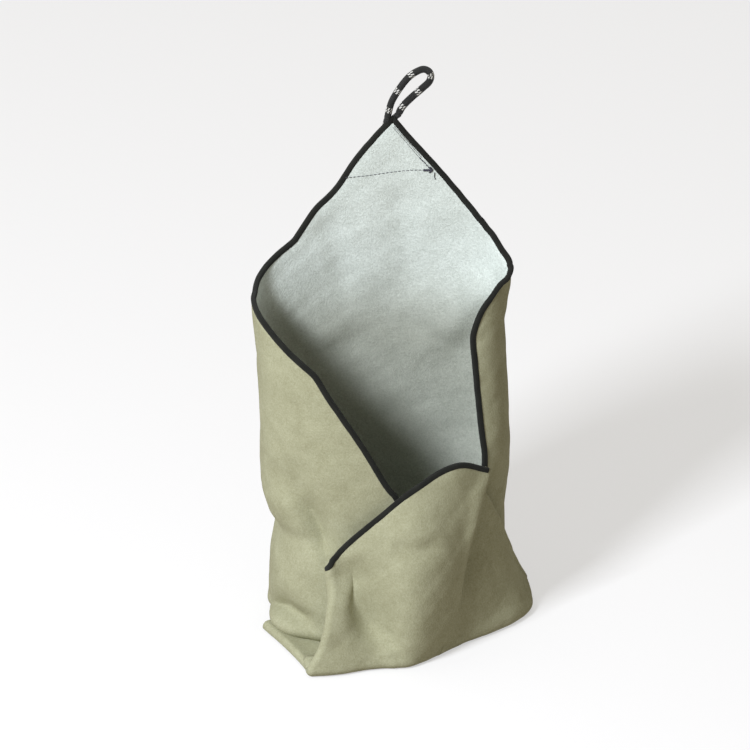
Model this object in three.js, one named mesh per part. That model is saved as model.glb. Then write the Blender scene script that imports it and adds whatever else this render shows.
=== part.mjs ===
// Padded square wrap, standing folded and empty.
// One square of three-ply cloth is folded: the back stands up to the top corner, the left and
// right corners go round the front, and the bottom corner comes up over them as the front flap.
// Millimetres, +Z up, +X right, -Y to the front.
import * as THREE from 'three';

// Cloth
const OUTER_THICKNESS = 0.8;
const PADDING_THICKNESS = 1.6;
const LINING_THICKNESS = 1.0;
const PLY_GAP = 0.3;
const LAYER_GAP = 0.9;
const SEAT_GAP = 0.6;

// Binding tape round the edges
const TAPE_THICKNESS = 0.7;
const TAPE_REACH = 2.6;
const TAPE_GAP = 0.6;
const TAPE_CHAMFER = 0.5;

// The standing wall, seen from above: how far it reaches from the axis
const LEFT_REACH = 98.6;
const RIGHT_REACH = 83.0;
const BACK_REACH = 50.0;
const FRONT_REACH = 60.0;
const WRAP_RIGHT_REACH = 72.0;

// The fold that the top corner turns on, and that corner
const TOP_FOLD_HEIGHT = 306;
const TOP_FOLD_LEFT = 68;
const TOP_FOLD_RIGHT = 68.5;
const TIP_HEIGHT = 394;
const TIP_DEPTH = 45;
const TIP_HALF_WIDTH = 2.4;
const FOLD_GAP = 0.7;

// How high the front flap comes up
const FLAP_HEIGHT = 156;

// Hanging loop
const CORD_DIAMETER = 5.1;
const CORD_END_DIAMETER = 2.8;
const CORD_CLEARANCE = 0.9;
const LOOP_LEAN = 26;
const LOOP_HEIGHT = 43;

// Patch behind the top corner, and the sewing that holds it
const PATCH_THICKNESS = 0.7;
const PATCH_DROP_LEFT = 50;
const PATCH_DROP_RIGHT = 44;
const THREAD_DIAMETER = 0.7;
const TACK_LENGTH = 9;
const TACK_WIDTH = 2.2;

// The frame's origin is under the middle of the wrap
const FRAME_SHIFT_X = 4.33;
const FRAME_SHIFT_Y = 22.5;

const CLOTH_THICKNESS = OUTER_THICKNESS + PADDING_THICKNESS + LINING_THICKNESS + 2 * PLY_GAP;
const HALF_CLOTH = CLOTH_THICKNESS / 2;
const LAYER_PITCH = CLOTH_THICKNESS + LAYER_GAP;
const FOOT = CLOTH_THICKNESS + SEAT_GAP;
const TAPE_OUTSIDE = TAPE_GAP + TAPE_THICKNESS;

// The three plies, as distances from the middle of the cloth towards its outer face
const PLIES = {
  lining: [-HALF_CLOTH, -HALF_CLOTH + LINING_THICKNESS],
  padding: [-HALF_CLOTH + LINING_THICKNESS + PLY_GAP, HALF_CLOTH - OUTER_THICKNESS - PLY_GAP],
  outer: [HALF_CLOTH - OUTER_THICKNESS, HALF_CLOTH],
};

const FINISH = {
  outer: { color: 0xb1b294, roughness: 0.95, metalness: 0 },
  padding: { color: 0xd8d8d2, roughness: 1, metalness: 0 },
  lining: { color: 0xc6cdc5, roughness: 1, metalness: 0 },
  tape: { color: 0x1d1e1b, roughness: 0.8, metalness: 0 },
  cord: { color: 0x1a1b1a, roughness: 0.7, metalness: 0 },
  thread: { color: 0x22222a, roughness: 0.6, metalness: 0 },
};

const wrap = new THREE.Group();
wrap.position.set(FRAME_SHIFT_X, FRAME_SHIFT_Y, 0);

function addPiece(name, geometry, finish) {
  const mesh = new THREE.Mesh(geometry, new THREE.MeshStandardMaterial(FINISH[finish]));
  mesh.name = name;
  wrap.add(mesh);
}

// Curves through hand-set points

function catmullRom(a, b, c, d, t) {
  const t2 = t * t;
  const t3 = t2 * t;
  return 0.5 * (2 * b + (c - a) * t + (2 * a - 5 * b + 4 * c - d) * t2 + (3 * b - a - 3 * c + d) * t3);
}

function along(values, t) {
  const last = values.length - 1;
  const at = Math.min(Math.max(t, 0), 1) * last;
  const i = Math.min(Math.floor(at), last - 1);
  const before = i > 0 ? values[i - 1] : 2 * values[0] - values[1];
  const after = i + 2 <= last ? values[i + 2] : 2 * values[last] - values[last - 1];
  return catmullRom(before, values[i], values[i + 1], after, at - i);
}

// A smooth height-to-value curve through [height, value] pairs
function profile(pairs) {
  return (height) => {
    const last = pairs.length - 1;
    if (height <= pairs[0][0]) return pairs[0][1];
    if (height >= pairs[last][0]) return pairs[last][1];
    let i = 0;
    while (height > pairs[i + 1][0]) i += 1;
    const t = (height - pairs[i][0]) / (pairs[i + 1][0] - pairs[i][0]);
    const before = i > 0 ? pairs[i - 1][1] : 2 * pairs[0][1] - pairs[1][1];
    const after = i + 2 <= last ? pairs[i + 2][1] : 2 * pairs[last][1] - pairs[last - 1][1];
    return catmullRom(before, pairs[i][1], pairs[i + 1][1], after, t);
  };
}

// A sheet through rows of points; u runs along a row, v from the first row to the last
function sheetThrough(rows) {
  return (u, v) => {
    const at = [0, 1, 2].map((axis) => along(rows.map((row) => along(row.map((p) => p[axis]), u)), v));
    return new THREE.Vector3(...at);
  };
}

function mix(a, b, t) {
  return a + (b - a) * t;
}

// Hand-set points are drawn at these sizes, and follow the named ones
const DRAWN = {
  leftReach: 98.6, rightReach: 83, backReach: 50, frontReach: 60,
  foldHeight: 301.4, foldLeft: 68, foldRight: 68.5, tipRise: 88, flapHeight: 151.4,
};
const LEFT_SCALE = LEFT_REACH / DRAWN.leftReach;
const RIGHT_SCALE = RIGHT_REACH / DRAWN.rightReach;
const BACK_SCALE = BACK_REACH / DRAWN.backReach;
const FRONT_SCALE = FRONT_REACH / DRAWN.frontReach;
const WALL_SCALE = (TOP_FOLD_HEIGHT - FOOT) / DRAWN.foldHeight;
const FLAP_SCALE = (FLAP_HEIGHT - FOOT) / DRAWN.flapHeight;

// A drawn point, its height counted from the foot, at its real place
function placed([x, y, rise], heightScale) {
  const across = x * (x < 0 ? LEFT_SCALE : RIGHT_SCALE);
  const depth = y * (y < 0 ? FRONT_SCALE : BACK_SCALE);
  return [across, depth, FOOT + rise * heightScale];
}

// A reach that changes with the height, from drawn pairs of rise and reach
function reachProfile(scale, pairs) {
  return profile(pairs.map(([rise, reach]) => [FOOT + rise * WALL_SCALE, reach * scale]));
}

// The standing wall

const leftReach = reachProfile(LEFT_SCALE, [
  [-4.6, 95.1], [29.4, 88.6], [71.4, 89.6], [106.4, 98.6], [175.4, 98.6], [217.4, 101], [265.4, 104.4],
  [301.4, 104],
]);
const rightReach = reachProfile(RIGHT_SCALE, [
  [-4.6, 78], [78.4, 79.5], [155.4, 83], [215.4, 79], [281.4, 84.5], [301.4, 84],
]);
const wallBackReach = reachProfile(BACK_SCALE, [[-4.6, 52], [115.4, 50], [235.4, 47], [301.4, 46]]);
const flapBackReach = profile([
  [TOP_FOLD_HEIGHT, wallBackReach(TOP_FOLD_HEIGHT)], [TIP_HEIGHT, TIP_DEPTH * BACK_SCALE],
]);
function backReach(height) {
  return height > TOP_FOLD_HEIGHT ? flapBackReach(height) : wallBackReach(height);
}
const frontLeftReach = reachProfile(FRONT_SCALE, [[-4.6, 68], [45.4, 63], [95.4, 60], [301.4, 60]]);
const frontRightReach = reachProfile(FRONT_SCALE, [
  [-4.6, 44], [55.4, 50], [95.4, 57], [115.4, 60], [301.4, 60],
]);

// The front reach changes from the left one to the right one between these angles
const FRONT_TURN_START = -155;
const FRONT_TURN_END = -205;
function frontReach(angle, height) {
  const past = angle > 0 ? angle - 360 : angle;
  const share = THREE.MathUtils.smoothstep(-past, -FRONT_TURN_START, -FRONT_TURN_END);
  return mix(frontLeftReach(height), frontRightReach(height), share);
}

// How square each quarter of the wall is, as the power of its superellipse
const BACK_LEFT_POWER = 2.6;
const BACK_RIGHT_POWER = 3.0;
const FRONT_LEFT_POWER = 2.4;
const FRONT_RIGHT_POWER = 2.0;

// A point of the wall; the angle is 0 at the back, negative to the left, -180 at the front
function wallPoint(angle, height) {
  const turn = THREE.MathUtils.degToRad(angle);
  const side = Math.sin(turn);
  const back = Math.cos(turn);
  const isLeft = side < 0;
  const isFront = back < 0;
  let power = isLeft ? BACK_LEFT_POWER : BACK_RIGHT_POWER;
  if (isFront) power = isLeft ? FRONT_LEFT_POWER : FRONT_RIGHT_POWER;
  let reachX = isLeft ? leftReach(height) : rightReach(height);
  if (isFront && !isLeft) reachX = WRAP_RIGHT_REACH;
  const reachY = isFront ? frontReach(angle, height) : backReach(height);
  const x = Math.sign(side) * reachX * Math.abs(side) ** (2 / power);
  const y = Math.sign(back) * reachY * Math.abs(back) ** (2 / power);
  return new THREE.Vector3(x, y, height);
}

function backDepth(x, height) {
  const power = x < 0 ? BACK_LEFT_POWER : BACK_RIGHT_POWER;
  const reach = x < 0 ? leftReach(height) : rightReach(height);
  const inner = Math.max(1 - (Math.abs(x) / reach) ** power, 0);
  return backReach(height) * inner ** (1 / power);
}

// The two bound edges that rise to the top corner: height to place across
function flapEdge(scale, pairs) {
  const tipRise = TIP_HEIGHT - TOP_FOLD_HEIGHT;
  return profile(pairs.map(([rise, across]) => [
    TOP_FOLD_HEIGHT + (rise * tipRise) / DRAWN.tipRise, across * scale,
  ]).concat([[TIP_HEIGHT - TIP_HALF_WIDTH, TIP_HALF_WIDTH]]));
}
const leftEdgePlace = flapEdge(TOP_FOLD_LEFT / DRAWN.foldLeft, [
  [0, 68], [13, 59], [27, 46], [40, 37.5], [51, 31], [69.7, 18.9], [78.3, 12],
]);
const topLeftEdge = (height) => -leftEdgePlace(height);
const topRightEdge = flapEdge(TOP_FOLD_RIGHT / DRAWN.foldRight, [
  [0, 68.5], [7, 62], [26, 48], [41, 35.5], [52.6, 27], [69.7, 13.2], [78.3, 7.4],
]);

function angleOf(x, reach, power) {
  return THREE.MathUtils.radToDeg(Math.asin((Math.abs(x) / reach) ** (power / 2)));
}
const LEFT_FOLD_ANGLE = -angleOf(topLeftEdge(TOP_FOLD_HEIGHT), leftReach(TOP_FOLD_HEIGHT), BACK_LEFT_POWER);
const RIGHT_FOLD_ANGLE = angleOf(topRightEdge(TOP_FOLD_HEIGHT), rightReach(TOP_FOLD_HEIGHT), BACK_RIGHT_POWER);

// The left wing's bound edge, as degrees round the wall (counted up from the left fold) to height
const LEFT_WING_END_ANGLE = -225;
const leftWingEdge = profile([
  [-LEFT_FOLD_ANGLE, 301.4], [41, 291.4], [56, 280.4], [70, 273.4], [88, 265.9], [113, 257.9],
  [132, 243.4], [149, 225.4], [159.6, 198.4], [166.4, 179.4], [173, 157.4], [180.5, 126.9],
  [195, 105.4], [211, 82.4], [-LEFT_WING_END_ANGLE, 57.4],
].map(([angle, rise]) => [angle, FOOT + rise * WALL_SCALE]));

function backSheet(u, v) {
  return wallPoint(mix(LEFT_FOLD_ANGLE, RIGHT_FOLD_ANGLE, u), mix(FOOT, TOP_FOLD_HEIGHT - FOLD_GAP / 2, v));
}

function topFlapSheet(u, v) {
  const height = mix(TOP_FOLD_HEIGHT + FOLD_GAP / 2, TIP_HEIGHT - TIP_HALF_WIDTH, v);
  const x = mix(topLeftEdge(height), topRightEdge(height), u);
  return new THREE.Vector3(x, backDepth(x, height), height);
}

function leftWingSheet(u, v) {
  const angle = mix(LEFT_FOLD_ANGLE, LEFT_WING_END_ANGLE, u);
  const top = Math.min(leftWingEdge(-angle), TOP_FOLD_HEIGHT - FOLD_GAP / 2);
  return wallPoint(angle, mix(FOOT, top, v));
}

// The right wing turns in over the front as a narrow band; its last column is its bound edge.
// Each row: the rise at the fold, then the drawn places of the columns past the fold
const COLUMN_STEP = 5;
const TOP_DROP = 3.5;
const rightWingRows = [
  [0, [76, 24, 0], [77, 5, 0], [69, -9, 0], [55, -18, 0]],
  [65.4, [77.5, 24, 65.4], [78.5, 5, 65.4], [69.5, -9, 65.4], [57, -19, 65.4]],
  [100.4, [79.5, 24, 100.4], [80.5, 5, 100.4], [72, -10, 100.4], [61, -22, 100.4]],
  [135.4, [80.5, 24, 135.4], [84, 6, 135.4], [78.5, -12, 135.4], [65.5, -26, 135.4]],
  [185.4, [80, 24, 185.4], [82.5, 6, 185.4], [74.5, -9, 185.4], [61, -20, 184.4]],
  [230.4, [78.5, 24, 230.4], [79.5, 8, 229.4], [71, -4, 228.4], [57, -14, 227.4]],
  [257.4, [79, 24, 253.4], [81.5, 11, 249.4], [74, -1, 246.4], [58.5, -12, 242.4]],
  [280.4, [79.5, 24, 274.4], [84, 14, 268.4], [78.5, 2, 263.4], [66, -8, 259.4]],
  [301.4, [79, 26, 289.9], [84.5, 18, 282.4], [84.5, 9, 276.9], [79.5, 1, 271.4]],
].map(([rise, ...places]) => [
  FOOT + rise * WALL_SCALE, ...places.map((place) => placed(place, WALL_SCALE)),
]);
const rightWingColumns = [1, 2, 3, 4].map(
  (column) => [0, 1, 2].map((axis) => profile(rightWingRows.map((row) => [row[0], row[column][axis]]))),
);
const topDrop = profile([[0, 0], [230.4, 0], [257.4, 1], [301.4, TOP_DROP]].map(
  ([rise, drop]) => [FOOT + rise * WALL_SCALE, drop],
));
function rightWingSheet(u, v) {
  const height = mix(FOOT, TOP_FOLD_HEIGHT - FOLD_GAP / 2, v);
  const row = [
    wallPoint(RIGHT_FOLD_ANGLE, height).toArray(),
    wallPoint(RIGHT_FOLD_ANGLE + COLUMN_STEP, height - topDrop(height)).toArray(),
    ...rightWingColumns.map((column) => column.map((place) => place(height))),
  ];
  return new THREE.Vector3(...[0, 1, 2].map((axis) => along(row.map((place) => place[axis]), u)));
}

// The front flap, from its fold at the left to the crease at the right, foot to bound edge
const frontFlapSheet = sheetThrough([
  [[-64, -98, 0], [-42, -94, 0], [-18, -87.5, 0], [5, -83, 0], [21, -71, 0], [35, -57.5, 0]],
  [[-57, -91, 20.4], [-39, -91, 23.4], [-16, -86, 25.4], [9, -80, 26.4], [27, -69, 26.4], [42, -57, 26.4]],
  [[-51, -84, 43.4], [-35, -86, 51.4], [-12, -81, 57.4], [13, -76, 61.4], [32, -66, 62.4], [48, -54.5, 61.4]],
  [[-50, -79, 60.4], [-34, -79, 77.4], [-9, -74, 90.4], [16, -69, 99.4], [38, -60, 103.4], [57, -47, 100.4]],
  [[-50, -77, 74.4], [-36, -74, 99.4], [-9, -68.4, 118.4], [15, -64.8, 138.4], [45, -55, 151.4], [69, -39, 138.4]],
].map((row) => row.map((place) => placed(place, FLAP_SCALE))));

// The cloth that rolls from under the crease round the right of the base
const sideRollSurface = sheetThrough([
  [[29, -63, 0], [50, -45.5, 0], [70, -30.5, 0], [90, -14, 0], [99, 3, 0], [97, 27, 0]],
  [[37, -61, 26.4], [57, -45, 25.4], [72, -32, 23.4], [87, -16, 20.4], [94.5, 2, 13.4], [96.8, 26, 3.4]],
  [[44, -57.5, 61.4], [60, -45, 57.4], [71, -34, 51.4], [81, -19, 43.4], [90, 1, 27.4], [96.4, 25, 5.4]],
  [[52, -51, 95.4], [65, -40, 90.4], [73, -32, 81.4], [80, -19, 66.4], [87, 0, 40.4], [96, 24.5, 7.4]],
  [[58, -46, 121.4], [67, -38, 114.4], [74, -30, 101.4], [80.5, -18, 79.4], [87, -1, 47.4], [95.7, 24, 9.4]],
].map((row) => row.map((place) => placed(place, FLAP_SCALE))));

function normalOf(sheet, u, v) {
  const step = 1e-3;
  const acrossU = sheet(Math.min(u + step, 1), v).sub(sheet(Math.max(u - step, 0), v));
  const acrossV = sheet(u, Math.min(v + step, 1)).sub(sheet(u, Math.max(v - step, 0)));
  return acrossU.cross(acrossV).normalize();
}

// A sheet moved along its normal; side is 1 where u cross v points to the outer face, else -1
function offsetSheet(sheet, side, distance) {
  return (u, v) => sheet(u, v).addScaledVector(normalOf(sheet, u, v), side * distance);
}

const sideRollSheet = offsetSheet(sideRollSurface, 1, -LAYER_PITCH);

// The left margin of the front flap, turned in behind it: wide at the foot, narrow at the top
const TUCK_FOOT_SHARE = 0.42;
const TUCK_TOP_SHARE = 0.12;
const TUCK_HEIGHT_SHARE = 0.82;
const behindFlapSheet = offsetSheet(frontFlapSheet, 1, -LAYER_PITCH);
function tuckSheet(u, v) {
  return behindFlapSheet(u * mix(TUCK_FOOT_SHARE, TUCK_TOP_SHARE, v), mix(0, TUCK_HEIGHT_SHARE, v));
}

// The corner of cloth that folds out between the left wing and the base
const GUSSET_FOOT = CLOTH_THICKNESS + PLY_GAP + HALF_CLOTH;
const gussetSheet = sheetThrough([
  [[-91, -40, 0], [-83.5, -54, 0], [-75, -69, 0], [-68.5, -84, 0]],
  [[-88.5, -38.2, 1.6], [-80, -48.5, 3.1], [-69.5, -57.5, 4.1], [-61, -63.5, 4.6]],
].map((row) => row.map(([x, y, rise]) => {
  const [across, depth] = placed([x, y, 0], 1);
  return [across, depth, GUSSET_FOOT + rise];
})));

// Solids

function orient(geometry) {
  const position = geometry.getAttribute('position');
  const index = geometry.getIndex().array;
  const [a, b, c] = [new THREE.Vector3(), new THREE.Vector3(), new THREE.Vector3()];
  let volume = 0;
  for (let i = 0; i < index.length; i += 3) {
    a.fromBufferAttribute(position, index[i]);
    b.fromBufferAttribute(position, index[i + 1]);
    c.fromBufferAttribute(position, index[i + 2]);
    volume += a.dot(b.cross(c));
  }
  if (volume < 0) {
    for (let i = 0; i < index.length; i += 3) [index[i], index[i + 1]] = [index[i + 1], index[i]];
  }
  geometry.computeVertexNormals();
  return geometry;
}

function solidFrom(points, triangles) {
  const geometry = new THREE.BufferGeometry();
  geometry.setAttribute('position', new THREE.Float32BufferAttribute(points.flatMap((p) => p.toArray()), 3));
  geometry.setIndex(triangles);
  return orient(geometry);
}

// A corner of a panel's grid of cells: its place on the sheet and the way to the outer face
function gridPoint(panel, i, j) {
  const { sheet, side, cells, trim } = panel;
  const middle = sheet(0.5, 0.5);
  const lengthU = sheet(0, 0.5).distanceTo(middle) + middle.distanceTo(sheet(1, 0.5));
  const lengthV = sheet(0.5, 0).distanceTo(middle) + middle.distanceTo(sheet(0.5, 1));
  const u = mix(trim.start / lengthU, 1 - trim.end / lengthU, i / cells[0]);
  const v = mix(trim.foot / lengthV, 1 - trim.top / lengthV, j / cells[1]);
  return { place: sheet(u, v), out: normalOf(sheet, u, v).multiplyScalar(side) };
}

// One ply of a panel: a closed slab between two distances from the sheet
function plySolid(panel, low, high) {
  const [cellsU, cellsV] = panel.cells;
  const points = [];
  for (const distance of [low, high]) {
    for (let j = 0; j <= cellsV; j += 1) {
      for (let i = 0; i <= cellsU; i += 1) {
        const corner = gridPoint(panel, i, j);
        points.push(corner.place.addScaledVector(corner.out, distance));
      }
    }
  }
  const wide = cellsU + 1;
  const face = wide * (cellsV + 1);
  const at = (i, j, k) => k * face + j * wide + i;
  const triangles = [];
  const quad = (a, b, c, d) => triangles.push(a, b, c, a, c, d);
  for (let j = 0; j < cellsV; j += 1) {
    for (let i = 0; i < cellsU; i += 1) {
      quad(at(i, j, 0), at(i, j + 1, 0), at(i + 1, j + 1, 0), at(i + 1, j, 0));
      quad(at(i, j, 1), at(i + 1, j, 1), at(i + 1, j + 1, 1), at(i, j + 1, 1));
    }
  }
  for (let i = 0; i < cellsU; i += 1) {
    quad(at(i, 0, 0), at(i + 1, 0, 0), at(i + 1, 0, 1), at(i, 0, 1));
    quad(at(i, cellsV, 0), at(i, cellsV, 1), at(i + 1, cellsV, 1), at(i + 1, cellsV, 0));
  }
  for (let j = 0; j < cellsV; j += 1) {
    quad(at(0, j, 0), at(0, j, 1), at(0, j + 1, 1), at(0, j + 1, 0));
    quad(at(cellsU, j, 0), at(cellsU, j + 1, 0), at(cellsU, j + 1, 1), at(cellsU, j, 1));
  }
  return solidFrom(points, triangles);
}

// A closed tube of any section along rings of points, with flat ends
function ringSolid(rings, outline) {
  const sides = rings[0].length;
  const points = rings.flat();
  const triangles = [];
  for (let r = 0; r + 1 < rings.length; r += 1) {
    for (let i = 0; i < sides; i += 1) {
      const next = (i + 1) % sides;
      const here = r * sides;
      triangles.push(here + i, here + next, here + sides + next, here + i, here + sides + next, here + sides + i);
    }
  }
  const start = (rings.length - 1) * sides;
  for (const [a, b, c] of THREE.ShapeUtils.triangulateShape(outline, [])) {
    triangles.push(c, b, a, start + a, start + b, start + c);
  }
  return solidFrom(points, triangles);
}

const tapeOutline = [
  [1, -TAPE_REACH, 1], [1, TAPE_OUTSIDE - TAPE_CHAMFER, 1], [1, TAPE_OUTSIDE, 1, TAPE_CHAMFER],
  [-1, TAPE_OUTSIDE, 1, TAPE_CHAMFER], [-1, TAPE_OUTSIDE - TAPE_CHAMFER, 1], [-1, -TAPE_REACH, 1],
  [-1, -TAPE_REACH, 0], [-1, TAPE_GAP, 0], [1, TAPE_GAP, 0], [1, -TAPE_REACH, 0],
].map(([face, out, isOutside, cut = 0]) => {
  const half = HALF_CLOTH + TAPE_GAP + (isOutside ? TAPE_THICKNESS : 0) - cut;
  return new THREE.Vector2(face * half, out);
});

// Tape folded over an edge of a panel; the edge is a list of the grid's corners, each with the
// corner next to it inside the panel. The tape's faces follow the cloth between the two
const LEAST_SLOPE = 0.5;
function tapeSolid(panel, edge, startPlane, endPlane) {
  const corners = edge.map(([i, j]) => gridPoint(panel, i, j));
  const last = corners.length - 1;
  const rings = corners.map(({ place, out }, k) => {
    const beside = [corners[Math.max(k - 1, 0)].place, corners[Math.min(k + 1, last)].place];
    const tangent = beside[1].clone().sub(beside[0]).normalize();
    const inner = gridPoint(panel, edge[k][2], edge[k][3]);
    const inward = inner.place.clone().sub(place);
    const length = inward.length();
    inward.normalize();
    const slopes = beside.map((other) => other.clone().sub(place)).filter((way) => way.length() > 0)
      .map((way) => way.normalize().cross(inward).length());
    const slope = Math.max(Math.min(...slopes), LEAST_SLOPE);
    const plane = (k === 0 && startPlane) || (k === last && endPlane) || null;
    return tapeOutline.map((p) => {
      const distance = -p.y / slope;
      const face = out.clone().lerp(inner.out, THREE.MathUtils.clamp(distance / length, 0, 1)).normalize();
      const at = place.clone().addScaledVector(inward, distance).addScaledVector(face, p.x);
      if (!plane) return at;
      const shift = (plane.at - at.dot(plane.normal)) / tangent.dot(plane.normal);
      return at.addScaledVector(tangent, shift);
    });
  });
  return ringSolid(rings, tapeOutline);
}

function counted(first, last) {
  const step = Math.sign(last - first);
  return Array.from({ length: Math.abs(last - first) + 1 }, (unused, k) => first + k * step);
}

// Panels of cloth, each in three plies

const EDGE = PLY_GAP / 2;
function panelOf(sheet, side, cells, trim = {}) {
  return { sheet, side, cells, trim: { start: 0, end: 0, foot: 0, top: 0, ...trim } };
}
const panels = {
  back: panelOf(backSheet, -1, [9, 10], { start: EDGE, end: 3 * EDGE }),
  top_flap: panelOf(topFlapSheet, -1, [8, 10]),
  left_wing: panelOf(leftWingSheet, 1, [30, 10], { start: 2 * EDGE }),
  right_wing: panelOf(rightWingSheet, -1, [12, 10], { start: 3 * EDGE }),
  left_gusset: panelOf(gussetSheet, 1, [6, 2]),
  front_flap: panelOf(frontFlapSheet, 1, [12, 7], { foot: 2 * EDGE }),
  side_roll: panelOf(sideRollSheet, 1, [9, 5], { foot: 4.4 }),
  front_tuck: panelOf(tuckSheet, -1, [5, 6], { foot: 1.6 }),
};
for (const [name, panel] of Object.entries(panels)) {
  for (const [ply, [low, high]] of Object.entries(PLIES)) {
    addPiece(`${ply}_${name}`, plySolid(panel, low, high), ply);
  }
}

// The base, flat on the table, in the same three plies

const baseOutline = [
  [-96, -24], [-82, -55], [-72, -73], [-66, -100], [-42, -96], [-18, -89.5], [6, -85], [22, -73],
  [37, -58], [67, -34], [95, -10], [99, 4], [97, 27], [80, 44], [40, 54], [0, 55], [-50, 53],
  [-84, 40], [-97, 12],
];
function baseSolid(low, thickness) {
  const corners = baseOutline.map(([x, y]) => placed([x, y, 0], 1));
  const shape = new THREE.Shape(corners.map(([x, y]) => new THREE.Vector2(x, y)));
  const geometry = new THREE.ExtrudeGeometry(shape, { depth: thickness, bevelEnabled: false });
  geometry.translate(0, 0, low);
  return geometry;
}
addPiece('outer_base', baseSolid(0, OUTER_THICKNESS), 'outer');
addPiece('padding_base', baseSolid(OUTER_THICKNESS + PLY_GAP, PADDING_THICKNESS), 'padding');
addPiece('lining_base', baseSolid(CLOTH_THICKNESS - LINING_THICKNESS, LINING_THICKNESS), 'lining');

// Binding tape on the edges that show

const UP = new THREE.Vector3(0, 0, 1);
const ACROSS = new THREE.Vector3(1, 0, 0);
const aboveFold = { normal: UP, at: TOP_FOLD_HEIGHT + FOLD_GAP / 2 };
const belowFold = { normal: UP, at: TOP_FOLD_HEIGHT - FOLD_GAP / 2 };
const leftOfTip = { normal: ACROSS, at: -EDGE };
const rightOfTip = { normal: ACROSS, at: EDGE };

const flapRows = counted(0, panels.top_flap.cells[1]);
const flapRight = panels.top_flap.cells[0];
addPiece('binding_top_left', tapeSolid(
  panels.top_flap, flapRows.map((j) => [0, j, 1, j]), aboveFold, leftOfTip,
), 'tape');
addPiece('binding_top_right', tapeSolid(
  panels.top_flap, flapRows.map((j) => [flapRight, j, flapRight - 1, j]), aboveFold, rightOfTip,
), 'tape');

const [wingEnd, wingTop] = panels.left_wing.cells;
addPiece('binding_left_wing', tapeSolid(
  panels.left_wing, counted(0, wingEnd).map((i) => [i, wingTop, i, wingTop - 1]), belowFold, null,
), 'tape');
addPiece('binding_left_corner', tapeSolid(
  panels.left_wing, counted(0, wingTop - 2).map((j) => [wingEnd, j, wingEnd - 1, j]), null, null,
), 'tape');

// Along the top of the right wing, then down its front edge
const [bandEnd, bandTop] = panels.right_wing.cells;
addPiece('binding_right_wing', tapeSolid(panels.right_wing, [
  ...counted(0, bandEnd - 1).map((i) => [i, bandTop, i, bandTop - 1]),
  [bandEnd, bandTop, bandEnd - 1, bandTop - 1],
  ...counted(bandTop - 1, 0).map((j) => [bandEnd, j, bandEnd - 1, j]),
], belowFold, null), 'tape');

const [flapEnd, flapTop] = panels.front_flap.cells;
addPiece('binding_front', tapeSolid(
  panels.front_flap, counted(0, flapEnd).map((i) => [i, flapTop, i, flapTop - 1]), null, null,
), 'tape');

// Patch on the outer side of the top corner

const PATCH_MARGIN = TAPE_REACH + TAPE_GAP;
function patchSheet(u, v) {
  const share = mix(0.06, 0.94, u);
  const top = TIP_HEIGHT - 3.2 * PATCH_MARGIN;
  const height = mix(TIP_HEIGHT - mix(PATCH_DROP_LEFT, PATCH_DROP_RIGHT, share), top, v);
  const left = topLeftEdge(height) + PATCH_MARGIN * Math.SQRT2;
  const right = topRightEdge(height) - PATCH_MARGIN * Math.SQRT2;
  const x = mix(left, right, u);
  return new THREE.Vector3(x, backDepth(x, height), height);
}
const patchPanel = panelOf(patchSheet, -1, [6, 4]);
const patchFloor = HALF_CLOTH + PLY_GAP;
addPiece('corner_patch', plySolid(patchPanel, patchFloor, patchFloor + PATCH_THICKNESS), 'outer');

// Sewing that shows on the lining: the patch's lower seam and the tack at its right end

function roundRings(points, radii, sides, up) {
  return points.map((point, k) => {
    const tangent = points[Math.min(k + 1, points.length - 1)].clone().sub(points[Math.max(k - 1, 0)]).normalize();
    const side = tangent.clone().cross(up).normalize();
    const lift = side.clone().cross(tangent);
    return Array.from({ length: sides }, (unused, i) => {
      const turn = (2 * Math.PI * i) / sides;
      return point.clone()
        .addScaledVector(side, radii[k] * Math.cos(turn))
        .addScaledVector(lift, radii[k] * Math.sin(turn));
    });
  });
}
function roundOutline(sides) {
  return Array.from({ length: sides }, (unused, i) => {
    const turn = (2 * Math.PI * i) / sides;
    return new THREE.Vector2(Math.cos(turn), Math.sin(turn));
  });
}

const SEAM_LIFT = HALF_CLOTH + PLY_GAP + THREAD_DIAMETER / 2;
function seamPoint(t) {
  const height = TIP_HEIGHT - mix(PATCH_DROP_LEFT, PATCH_DROP_RIGHT, Math.sin((t * Math.PI) / 2));
  const left = topLeftEdge(height) + PATCH_MARGIN * Math.SQRT2;
  const right = topRightEdge(height) - PATCH_MARGIN * Math.SQRT2 - TACK_LENGTH - THREAD_DIAMETER;
  const x = mix(left, right, t);
  return new THREE.Vector3(x, backDepth(x, height) - SEAM_LIFT, height);
}
const seamPoints = Array.from({ length: 15 }, (unused, k) => seamPoint(k / 14));
const seamRadii = seamPoints.map(() => THREAD_DIAMETER / 2);
addPiece('corner_stitching', ringSolid(
  roundRings(seamPoints, seamRadii, 6, ACROSS.clone().cross(UP)), roundOutline(6),
), 'thread');

const tackStart = seamPoint(1);
const tackDepth = backDepth(tackStart.x + TACK_LENGTH, tackStart.z) - SEAM_LIFT;
const tack = new THREE.BoxGeometry(TACK_LENGTH - PLY_GAP, THREAD_DIAMETER, TACK_WIDTH);
tack.rotateZ(Math.atan2(tackDepth - tackStart.y, TACK_LENGTH));
tack.translate(
  tackStart.x + (TACK_LENGTH + PLY_GAP) / 2, (tackStart.y + tackDepth) / 2, tackStart.z,
);
addPiece('bar_tack', tack, 'thread');

// Hanging loop: both ends sewn in at the top corner, the loop leaning to the right

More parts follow.
